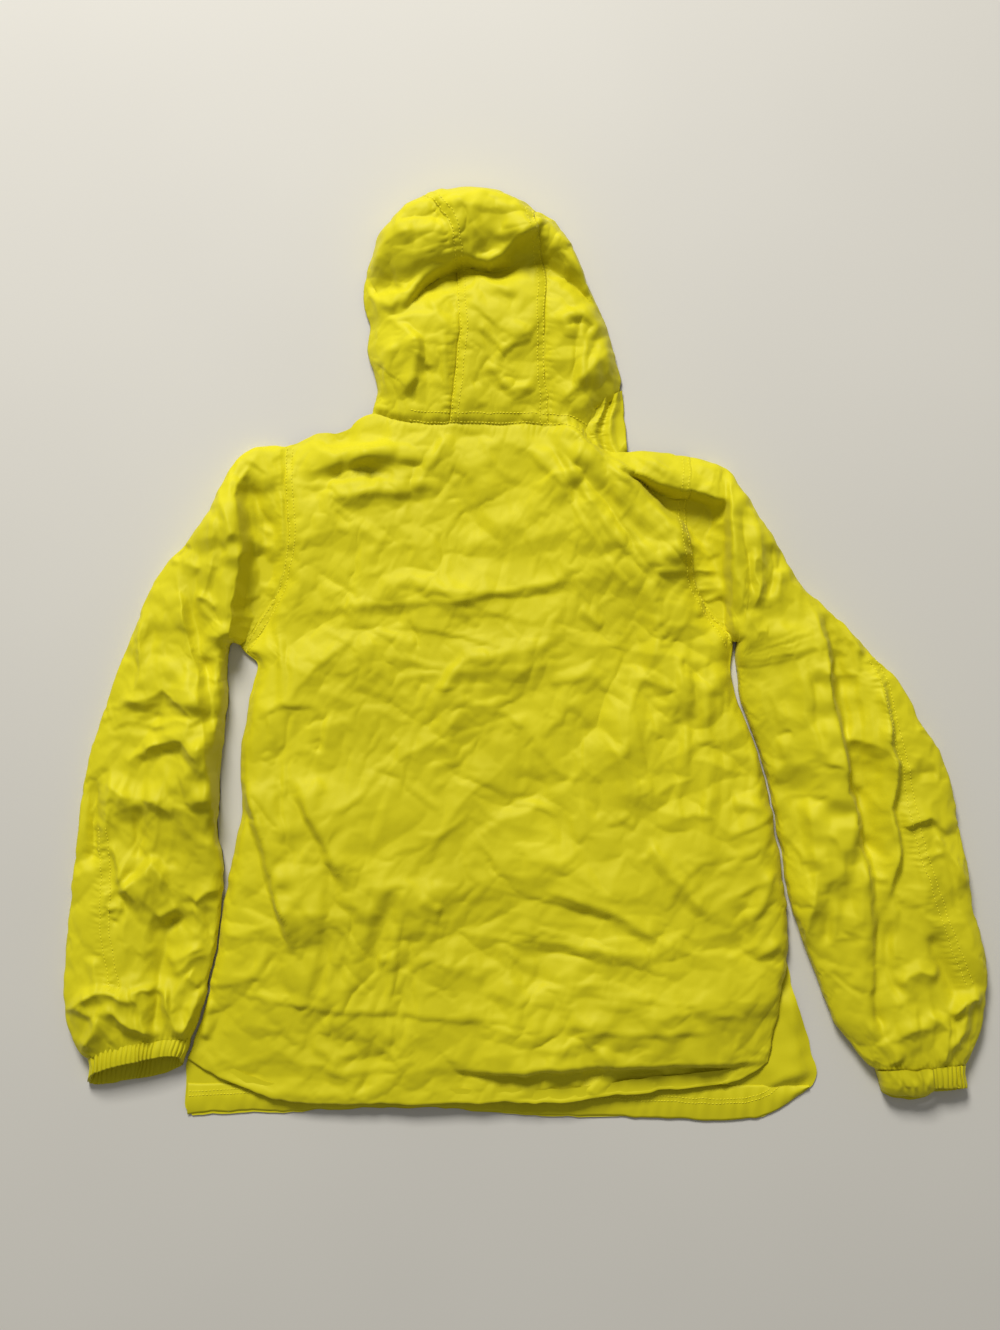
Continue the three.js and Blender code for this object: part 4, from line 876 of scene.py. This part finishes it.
def sleeve(name, armhole, sections, bow, folds, fan_table, seam, nylon):
    """A sleeve laid flat: a closed tube from the armhole to the cuff's seam."""
    first = edge(armhole, ARMHOLE_STEPS)
    first[:, 2] += WALL
    share = (1 - np.cos(np.pi * np.arange(ARMHOLE_STEPS + 1) / ARMHOLE_STEPS)) / 2
    rows = [first]
    for k, (ax, ay, bx, by, height) in enumerate(sections):
        aside = np.array([by - ay, ax - bx]) / np.hypot(bx - ax, by - ay)
        bent = bow * max(0, 1 - k / 2) * 4 * share * (1 - share)
        row = np.zeros((len(share), 3))
        row[:, :2] = np.outer(1 - share, (ax, ay)) + np.outer(share, (bx, by)) + np.outer(bent, aside)
        row[:, 2] = SLEEVE_EDGE + (height - SLEEVE_EDGE) * flattened_round(share)
        rows.append(row)
    grid = refined(np.stack(rows), GRID_STEP)
    x, y = grid[:, :, 0], grid[:, :, 1]
    box = ((x.min() - VIEW_CORNER[0], VIEW_CORNER[1] - y.max()), (x.max() - VIEW_CORNER[0], VIEW_CORNER[1] - y.min()))
    small = small_folds(box, 110, len(name), (14, 60), (0.5, 1.8), 1.2)
    fade = edge_weight(grid, round_edge(9), round_edge(9), slope(6), slope(4))
    added = fold_height(x, y, fans(fan_table) + small) + SLEEVE_CRUMPLE * crumple(x, y, 200 + len(name), 1.45)
    grid = with_height(grid, added, fade)
    grid[:, :, 2] += main_folds(x, y, folds + BACK_FOLDS)
    grid[:, :, 2] = np.maximum(grid[:, :, 2], SLEEVE_EDGE - 0.5)
    grid = settled(grid, name, 0.08, 0.0045, 0.1)
    grid[:, :, 2] += puckers(x, y, first[:, :2]) * fade
    grid[:, :, 2] += puckers(x, y, curve(on_part(seam), 60), height=1.3, reach=8) * fade
    last = grid[-1, :, :2]
    gathers = puckers(x, y, last, pitch=4.4, height=1.1, reach=13)
    grid[:, :, 2] = np.maximum(grid[:, :, 2] + gathers * round_edge(8)(np.minimum(
        np.linalg.norm(grid[:, :, :2] - grid[:, :1, :2], axis=2),
        np.linalg.norm(grid[:, :, :2] - grid[:, -1:, :2], axis=2))), SLEEVE_EDGE - 0.5)
    lower = grid[:, ::-3].copy()
    lower[:, :, 2] = 0.5
    inset = smoothstep(0, 1, np.minimum(np.arange(lower.shape[1]), np.arange(lower.shape[1])[::-1]) / 1.0)
    middle = lower.mean(axis=1, keepdims=True)
    lower[:, :, :2] += (middle - lower)[:, :, :2] * 0.012 * (1 - inset)[None, :, None]
    ring = np.concatenate([grid, lower], axis=1)
    m, n = ring.shape[:2]
    faces = grid_faces(m, n, closed=True)
    if bow > 0:
        faces = [face[::-1] for face in faces]
    return new_mesh(name, strayed(ring.reshape(-1, 3)), faces, nylon)


def cuff(name, sleeve_end, mouth, material):
    """An elastic cuff: a short gathered tube with a lining of the same cloth, open at its mouth."""
    ax, ay, bx, by, seam_height = sleeve_end
    seam = np.array([[ax, ay], [bx, by]], float)
    lip = np.array([mouth["a"], mouth["b"]], float)
    down = (lip - seam).sum(axis=0)
    down /= np.linalg.norm(down)
    steps = mouth["gathers"] * 12
    share = np.linspace(0, 1, steps + 1)
    arch = flattened_round(share)
    run = share * 100
    phase = 2 * np.pi * mouth["gathers"] * (share + 0.022 * noise(run, 0 * run, 11, 51))
    relief = (np.abs(np.cos(phase / 2)) ** 0.8 - 0.5) * 2.6
    cover = smoothstep(mouth["covered"], mouth["covered"] - 0.03, share) if mouth["covered"] else 0 * share
    depth = (0.7 + 0.7 * noise(run, 0 * run, 6, 52)) * smoothstep(0, 0.3, arch) * (1 - cover)
    flap = cover * np.sin(np.pi * np.clip(share / max(mouth["covered"], 0.01), 0, 1)) ** 0.6
    rows = 15
    outer, inner = [], []
    creases = lambda run, t: 1.6 * noise(run, run * 0 + 14 * t, 9, 55) + 0.8 * noise(run, run * 0 + 14 * t, 4, 56)
    for t in np.linspace(0, 1, rows):
        ends = (1 - t) * seam + t * lip
        height = (1 - t) * seam_height + t * mouth["height"] - 2 * CUFF_WALL
        drawn = (mouth["dip"] * t + mouth["seam_bow"] * (1 - t)) * arch
        pushed = mouth["lower_dip"] * t * arch + FLAP_REACH * t * flap
        drawn = drawn - FLAP_REACH * t * flap
        plan = np.outer(1 - share, ends[0]) + np.outer(share, ends[1])
        roll = np.sin(np.pi * np.clip(t, 0, 1)) * 1.2
        for layer, wall in ((outer, 0), (inner, CUFF_WALL)):
            shrink = wall * (1 - 2 * share)[:, None] * (ends[1] - ends[0]) / np.linalg.norm(ends[1] - ends[0])
            lifted = 2 * CUFF_WALL + height * arch + relief * depth + (roll + 1.5 * (1 - t)) * arch
            lifted += cover * COVER_FOLD * (1 - t**3) * arch + cover * arch * creases(run, t)
            upper = np.c_[plan + shrink - np.outer(drawn, down), lifted - wall]
            lower = np.c_[plan + shrink + np.outer(pushed, down),
                          np.where(wall, wall + 0.5 + 0.5 * relief * depth, 0.3) + 0 * share]
            layer.append(np.vstack([upper, lower[::-1]]))
    rings = outer + inner[::-1]
    grid = np.stack(rings)
    m, n = grid.shape[:2]
    faces = grid_faces(m, n, closed=True)
    if bx < ax:
        faces = [face[::-1] for face in faces]
    return new_mesh(name, strayed(grid.reshape(-1, 3)), faces, material)


def hood_panel(name, neck, steps, top, left, right, rise, seams, nylon, turned):
    grid = patch(edge(neck, steps), edge(top, steps), left, right,
                 np.linspace(0, 1, steps + 1), np.linspace(0, 1, HOOD_STEPS + 1), rise)
    weight = edge_weight(grid, round_edge(30), round_edge(30), slope(30), round_edge(30))
    grid[:, :, 2] += HOOD_LIFT * weight
    grid = refined(grid, 1.7)
    x, y = grid[:, :, 0], grid[:, :, 1]
    fade = edge_weight(grid, round_edge(7), round_edge(7), slope(8), round_edge(8))
    small = fold_height(x, y, fans(HOOD_FANS) + small_folds(((365, 190), (625, 430)), 40, 21, (8, 30)))
    grid = with_height(grid, small + crumple(x, y, 300), fade)
    grid[:, :, 2] += main_folds(x, y, HOOD_FOLDS + BACK_FOLDS)
    grid[:, :, 2] = np.maximum(grid[:, :, 2], LOWEST)
    grid = settled(grid, name, 0.08, 0.0045, 0.1)
    for seam in seams:
        grid[:, :, 2] += puckers(x, y, seam[:, :2], height=0.7, reach=8)
    grid = raised(grid)
    return grid_piece(name, turned_sides(grid, 1.5) if turned else grid, nylon)


def hood(nylon):
    seam_left, seam_right = curve(HOOD_SEAM_LEFT, 60), curve(HOOD_SEAM_RIGHT, 60)
    neck = joined(curve(NECK_LEFT, 20), curve(NECK_CENTRE, 20), curve(NECK_RIGHT, 16))
    seams = [seam_left, seam_right, neck]
    centre = hood_panel(
        "hood_centre_cloth", NECK_CENTRE, 8, HOOD_TOP_CENTRE, edge(HOOD_SEAM_LEFT, HOOD_STEPS),
        edge(HOOD_SEAM_RIGHT, HOOD_STEPS), lambda u: u, seams, nylon, False)
    left = hood_panel(
        "hood_left_cloth", NECK_LEFT, 6, HOOD_TOP_LEFT, edge(HOOD_RIM_LEFT, HOOD_STEPS),
        edge(HOOD_SEAM_LEFT, HOOD_STEPS), round_edge(1), seams, nylon, False)
    rim = joined(edge(GATHER_EDGE, 4), edge(HOOD_RIM_RIGHT, HOOD_STEPS - 4))
    right = hood_panel(
        "hood_right_cloth", NECK_RIGHT, 5, HOOD_TOP_RIGHT, edge(HOOD_SEAM_RIGHT, HOOD_STEPS), rim,
        lambda u: 1 - round_edge(1)(1 - u), seams, nylon, False)
    return centre, left, right


def hood_casing(nylon):
    """The casing round the face opening, flat under the hood's edge."""
    rim = joined(edge(HOOD_RIM_LEFT[1:], 40), edge(HOOD_TOP_LEFT, 6), edge(HOOD_TOP_CENTRE, 24),
                 edge(HOOD_TOP_RIGHT, 6), edge(HOOD_RIM_RIGHT[2:][::-1], 40))[:, :2]
    rim = resampled(rim, 260)
    along = np.gradient(rim, axis=0)
    along /= np.linalg.norm(along, axis=1, keepdims=True)
    side = np.stack([along[:, 1], -along[:, 0]], axis=1)
    rows = []
    for reach, z in ((0.2, 0.9), (0, 1.6), (2, 2.0), (12, 1.8), (22, 2.0), (24, 1.5), (23, 0.6)):
        rows.append(np.c_[rim + side * reach, np.full(len(rim), z)])
    return grid_piece("hood_edge_casing", np.stack(rows), nylon)


def hood_gather(nylon):
    """The gathered end of the casing beside the right shoulder, with its folds along the edge."""
    rows, columns = 110, 36
    grid = patch(edge(NECK_END, columns, 1), edge(GATHER_TOP, columns, 1), edge(GATHER_EDGE, rows),
                 edge(GATHER_RIM, rows, 1), np.linspace(0, 1, columns + 1), np.linspace(0, 1, rows + 1))
    hidden = smoothstep(0.16, 0, np.linspace(0, 1, columns + 1))[None]
    tucked = smoothstep(0.9, 1, np.linspace(0, 1, rows + 1))[:, None]
    grid[:, :, 0] -= 4 * hidden
    grid[:, :, 1] += 5 * tucked
    grid[:, :, 2] += 0.8 * hidden + 2.5 * tucked
    sewn_in = smoothstep(0.1, 0, np.linspace(0, 1, rows + 1))[:, None]
    grid[:, :, 1] -= 4 * sewn_in
    grid[:, :, 2] -= 0.4 * sewn_in
    grid[:, :, 2] += main_folds(grid[:, :, 0], grid[:, :, 1], HOOD_FOLDS + BACK_FOLDS)
    x, y = grid[:, :, 0], grid[:, :, 1]
    across = np.linspace(0, 1, columns + 1)[None]
    up = np.linspace(0, 1, rows + 1)[:, None]
    lean = across + 0.10 * np.sin(5 * up) + 0.05 * noise(x, y, 9, 61)
    relief = 3.2 * np.exp(-((lean - 0.22) / 0.09) ** 2) + 4 * np.exp(-((lean - 0.68) / 0.12) ** 2)
    relief -= 2.4 * np.exp(-((lean - 0.43) / 0.10) ** 2)
    fine = 1 - np.abs(noise(0.35 * x, y, 2.6, 62))
    relief += 1.5 * (fine - 0.5) * np.exp(-((lean - 0.33) / 0.25) ** 2)
    grid[:, :, 2] += WALL + relief * smoothstep(0, 0.12, across) * smoothstep(1, 0.85, across)
    return grid_piece("hood_gathered_end", turned_sides(grid, 0.6), nylon)


def offset(line, distance):
    """A line moved to its left by distance."""
    along = np.gradient(line, axis=0)
    along /= np.linalg.norm(along, axis=1, keepdims=True)
    return line + np.stack([-along[:, 1], along[:, 0]], axis=1) * distance


def stitch_rows(name, rows, carriers, thread):
    """Short raised stitches along rows of x, y, laid on the pieces that carry them."""
    trees = []
    for carrier in carriers:
        vertices = [vertex.co for vertex in carrier.data.vertices]
        trees.append(BVHTree.FromPolygons(vertices, [face.vertices for face in carrier.data.polygons]))
    points, faces = [], []
    sides = 6
    rings = ((-0.5, 0.35), (-0.32, 0.95), (0.32, 0.95), (0.5, 0.35))
    for row in rows:
        length = np.linalg.norm(np.diff(row, axis=0), axis=1).sum()
        spots = strayed(resampled(row, max(2, int(length / STITCH_PITCH))))
        for here, there in zip(spots, spots[1:]):
            at = Vector(((here[0] * MM + ORIGIN[0]), (here[1] * MM + ORIGIN[1]), 0.2))
            hits = [tree.ray_cast(at, Vector((0, 0, -1))) for tree in trees]
            hits = [hit for hit in hits if hit[0] is not None]
            if not hits:
                continue
            place, normal = max(hits, key=lambda hit: hit[0].z)[:2]
            normal = normal if normal.z > 0 else -normal
            along = Vector((there[0] - here[0], there[1] - here[1], 0))
            along = (along - normal * along.dot(normal)).normalized()
            aside = normal.cross(along)
            start = len(points)
            for step, size in rings:
                for k in range(sides):
                    turn = 2 * np.pi * k / sides
                    radius = STITCH_RADIUS * size * MM
                    spot = place + along * (step * STITCH_LENGTH * MM)
                    spot += aside * radius * np.cos(turn) + normal * (radius * np.sin(turn) + 0.0001)
                    points.append((np.array(spot) - ORIGIN) / MM)
            for ring in range(len(rings) - 1):
                for k in range(sides):
                    low, high = start + ring * sides, start + (ring + 1) * sides
                    faces.append([low + k, low + (k + 1) % sides, high + (k + 1) % sides, high + k])
            faces.append([start + k for k in range(sides)][::-1])
            faces.append([start + (len(rings) - 1) * sides + k for k in range(sides)])
    return new_mesh(name, np.array(points), faces, thread)


def plan_line(table, steps=80):
    return curve(table, steps)[:, :2]


class Nodes:
    """Short ways to make and join a material's nodes."""

    def __init__(self, name, base):
        self.material = bpy.data.materials.new(name)
        self.material.use_nodes = True
        self.tree = self.material.node_tree
        self.shader = self.tree.nodes["Principled BSDF"]
        self.shader.inputs["Base Color"].default_value = (*base, 1)
        self.material.diffuse_color = (*base, 1)

    def add(self, kind, **settings):
        node = self.tree.nodes.new(kind)
        for key, value in settings.items():
            if key in node.inputs:
                node.inputs[key].default_value = value
            else:
                setattr(node, key, value)
        return node

    def link(self, source, target):
        self.tree.links.new(source, target)


def cloth_material(name, light, dark, roughness, crumple_depth, weave_scale):
    """Woven nylon: two close tones, a plain weave, fine crumples and a soft sheen."""
    n = Nodes(name, light)
    place = n.add("ShaderNodeTexCoord").outputs["Object"]
    tone = n.add("ShaderNodeTexNoise", Scale=9.0, Detail=3.0, Roughness=0.55)
    n.link(place, tone.inputs["Vector"])
    ramp = n.add("ShaderNodeValToRGB")
    ramp.color_ramp.elements[0].position = 0.35
    ramp.color_ramp.elements[0].color = (*dark, 1)
    ramp.color_ramp.elements[1].position = 0.65
    ramp.color_ramp.elements[1].color = (*light, 1)
    n.link(tone.outputs["Fac"], ramp.inputs["Fac"])
    n.link(ramp.outputs["Color"], n.shader.inputs["Base Color"])

    gloss = n.add("ShaderNodeTexNoise", Scale=60.0, Detail=2.0)
    n.link(place, gloss.inputs["Vector"])
    span = n.add("ShaderNodeMapRange")
    span.inputs["To Min"].default_value = roughness - 0.06
    span.inputs["To Max"].default_value = roughness + 0.06
    n.link(gloss.outputs["Fac"], span.inputs["Value"])
    n.link(span.outputs["Result"], n.shader.inputs["Roughness"])

    warp = n.add("ShaderNodeTexWave", wave_type="BANDS", bands_direction="X", Scale=weave_scale, Distortion=0.2)
    weft = n.add("ShaderNodeTexWave", wave_type="BANDS", bands_direction="Y", Scale=weave_scale, Distortion=0.2)
    n.link(place, warp.inputs["Vector"])
    n.link(place, weft.inputs["Vector"])
    weave = n.add("ShaderNodeMath", operation="MULTIPLY")
    n.link(warp.outputs["Fac"], weave.inputs[0])
    n.link(weft.outputs["Fac"], weave.inputs[1])
    weave_bump = n.add("ShaderNodeBump", Strength=0.25, Distance=0.00005)
    n.link(weave.outputs["Value"], weave_bump.inputs["Height"])
    fine = n.add("ShaderNodeTexNoise", noise_type="RIDGED_MULTIFRACTAL", Scale=26.0, Detail=4.0,
                 Roughness=0.5, Distortion=0.5)
    n.link(place, fine.inputs["Vector"])
    crumples = n.add("ShaderNodeBump", Strength=0.7, Distance=crumple_depth)
    n.link(fine.outputs["Fac"], crumples.inputs["Height"])
    n.link(weave_bump.outputs["Normal"], crumples.inputs["Normal"])
    n.link(crumples.outputs["Normal"], n.shader.inputs["Normal"])
    n.shader.inputs["Sheen Weight"].default_value = 0.04
    n.shader.inputs["Sheen Roughness"].default_value = 0.45
    n.shader.inputs["Specular IOR Level"].default_value = 0.22
    return n.material


def thread_material(name, colour):
    """Twisted thread: fine slanting bands of bump."""
    n = Nodes(name, colour)
    place = n.add("ShaderNodeTexCoord").outputs["Object"]
    twist = n.add("ShaderNodeTexWave", wave_type="BANDS", bands_direction="DIAGONAL", Scale=900.0)
    n.link(place, twist.inputs["Vector"])
    bump = n.add("ShaderNodeBump", Strength=0.4, Distance=0.0001)
    n.link(twist.outputs["Fac"], bump.inputs["Height"])
    n.link(bump.outputs["Normal"], n.shader.inputs["Normal"])
    n.shader.inputs["Roughness"].default_value = 0.6
    return n.material


def floor_material():
    n = Nodes("pale_floor", (0.65, 0.63, 0.58))
    place = n.add("ShaderNodeTexCoord").outputs["Object"]
    grain = n.add("ShaderNodeTexNoise", Scale=2.5, Detail=2.0)
    n.link(place, grain.inputs["Vector"])
    ramp = n.add("ShaderNodeValToRGB")
    ramp.color_ramp.elements[0].color = (0.62, 0.60, 0.55, 1)
    ramp.color_ramp.elements[1].color = (0.68, 0.66, 0.605, 1)
    n.link(grain.outputs["Fac"], ramp.inputs["Fac"])
    n.link(ramp.outputs["Color"], n.shader.inputs["Base Color"])
    n.shader.inputs["Roughness"].default_value = 0.6
    return n.material


VIEW_CENTRE = (-25, -13)  # what the camera looks down on
VIEW_HEIGHT = 1330  # of what the view takes in, at the height of FOCUS_LEVEL
CAMERA_HEIGHT = 1700
FOCUS_LEVEL = 10


def camera():
    data = bpy.data.cameras.new("camera")
    data.sensor_width = 36
    data.sensor_fit = "AUTO"
    data.lens = 36 * (CAMERA_HEIGHT - FOCUS_LEVEL) / VIEW_HEIGHT
    data.clip_end = 20
    lens = bpy.data.objects.new("camera", data)
    lens.location = (VIEW_CENTRE[0] * MM + ORIGIN[0], VIEW_CENTRE[1] * MM + ORIGIN[1], CAMERA_HEIGHT * MM)
    bpy.context.scene.collection.objects.link(lens)
    bpy.context.scene.camera = lens


def area_light(name, place, size, power, colour=(1, 1, 1)):
    data = bpy.data.lights.new(name, "AREA")
    data.size, data.energy, data.color = size, power, colour
    light = bpy.data.objects.new(name, data)
    light.location = place
    light.rotation_euler = (-Vector(place)).to_track_quat("-Z", "Y").to_euler()
    bpy.context.scene.collection.objects.link(light)


def surroundings():
    mesh = bpy.data.meshes.new("floor")
    reach = 40
    mesh.from_pydata([(-reach, -reach, -0.0004), (reach, -reach, -0.0004), (reach, reach, -0.0004),
                      (-reach, reach, -0.0004)], [], [(0, 1, 2, 3)])
    mesh.materials.append(floor_material())
    floor = bpy.data.objects.new("floor", mesh)
    bpy.context.scene.collection.objects.link(floor)
    area_light("window", (-0.9, 3.3, 2.9), 1.35, 215, (1, 0.985, 0.95))
    world = bpy.data.worlds.new("world")
    world.use_nodes = True
    world.node_tree.nodes["Background"].inputs["Color"].default_value = (1, 0.99, 0.96, 1)
    world.node_tree.nodes["Background"].inputs["Strength"].default_value = 0.23
    bpy.context.scene.world = world
    bpy.context.scene.view_settings.view_transform = "Standard"


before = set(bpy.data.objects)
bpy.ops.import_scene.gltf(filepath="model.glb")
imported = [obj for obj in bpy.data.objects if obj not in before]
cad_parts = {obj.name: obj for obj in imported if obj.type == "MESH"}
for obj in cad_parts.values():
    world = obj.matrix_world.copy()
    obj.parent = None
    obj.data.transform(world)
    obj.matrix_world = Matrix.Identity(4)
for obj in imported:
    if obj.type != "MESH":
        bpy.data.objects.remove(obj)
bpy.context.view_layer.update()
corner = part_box("front")[0]
ORIGIN = np.array([corner[0] + 0.341, corner[1] + 0.467, corner[2]])

LIGHT = (0.67, 0.605, 0.008)
DARK = (0.61, 0.55, 0.006)
nylon = cloth_material("citron_nylon", LIGHT, DARK, 0.6, 0.0008, 260.0)
elastic = cloth_material("gathered_cloth", LIGHT, DARK, 0.62, 0.0004, 260.0)
thread = thread_material("citron_thread", (0.80, 0.72, 0.012))

pieces = {
    "back": back(nylon),
    "front": front(nylon),
    "front_hem": front_casing(nylon),
    "sleeve_left": sleeve("sleeve_left_cloth", ARMHOLE_LEFT, SLEEVE_LEFT, 12, SLEEVE_LEFT_FOLDS, SLEEVE_LEFT_FANS,
                          SLEEVE_SEAM_LEFT, nylon),
    "sleeve_right": sleeve("sleeve_right_cloth", ARMHOLE_RIGHT, SLEEVE_RIGHT, -9, SLEEVE_RIGHT_FOLDS, SLEEVE_RIGHT_FANS,
                           SLEEVE_SEAM_RIGHT, nylon),
    "cuff_left": cuff("cuff_left_gathers", SLEEVE_LEFT[-1], CUFF_LEFT, elastic),
    "cuff_right": cuff("cuff_right_gathers", SLEEVE_RIGHT[-1], CUFF_RIGHT, elastic),
}
pieces["hood_centre"], pieces["hood_left"], pieces["hood_right"] = hood(nylon)
pieces["hood_hem"] = hood_casing(nylon)
gathered_end = hood_gather(nylon)

for node, piece in pieces.items():
    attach(piece, "root")
    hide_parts(node)
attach(gathered_end, "root")

neck = joined(curve(NECK_LEFT, 20), curve(NECK_CENTRE, 20), curve(NECK_RIGHT, 16))[10:-4, :2]
hood_pieces = [pieces[node] for node in ("hood_centre", "hood_left", "hood_right")]
sewn = {
    "neck_stitches": ([offset(neck, 1.8), offset(neck, 11)], hood_pieces),
    "hood_stitches": (
        [offset(plan_line(HOOD_SEAM_LEFT), -reach) for reach in HOOD_SEAM_ROWS]
        + [offset(plan_line(HOOD_SEAM_RIGHT), reach) for reach in HOOD_SEAM_ROWS],
        [pieces["hood_centre"]],
    ),
    "armhole_stitches": (
        [offset(plan_line(ARMHOLE_LEFT), -reach) for reach in (2, 8)]
        + [offset(plan_line(ARMHOLE_RIGHT), reach) for reach in (2, 8)],
        [pieces["back"]],
    ),
    "sleeve_left_stitches": (
        [plan_line(on_part(SLEEVE_SEAM_LEFT)), offset(plan_line(on_part(SLEEVE_SEAM_LEFT)), SLEEVE_SEAM_WIDTH)],
        [pieces["sleeve_left"]],
    ),
    "sleeve_right_stitches": (
        [plan_line(on_part(SLEEVE_SEAM_RIGHT)), offset(plan_line(on_part(SLEEVE_SEAM_RIGHT)), 7)],
        [pieces["sleeve_right"]],
    ),
    "hem_stitches": (
        [offset(plan_line(CASING_BOTTOM), 22.5), offset(plan_line(CASING_BOTTOM), 18)],
        [pieces["front_hem"]],
    ),
}
stitches = {}
for name, (rows, carriers) in sewn.items():
    stitches[name] = stitch_rows(name, rows, carriers, thread)
    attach(stitches[name], "root")

pieces["gathered_end"] = gathered_end

surroundings()
camera()
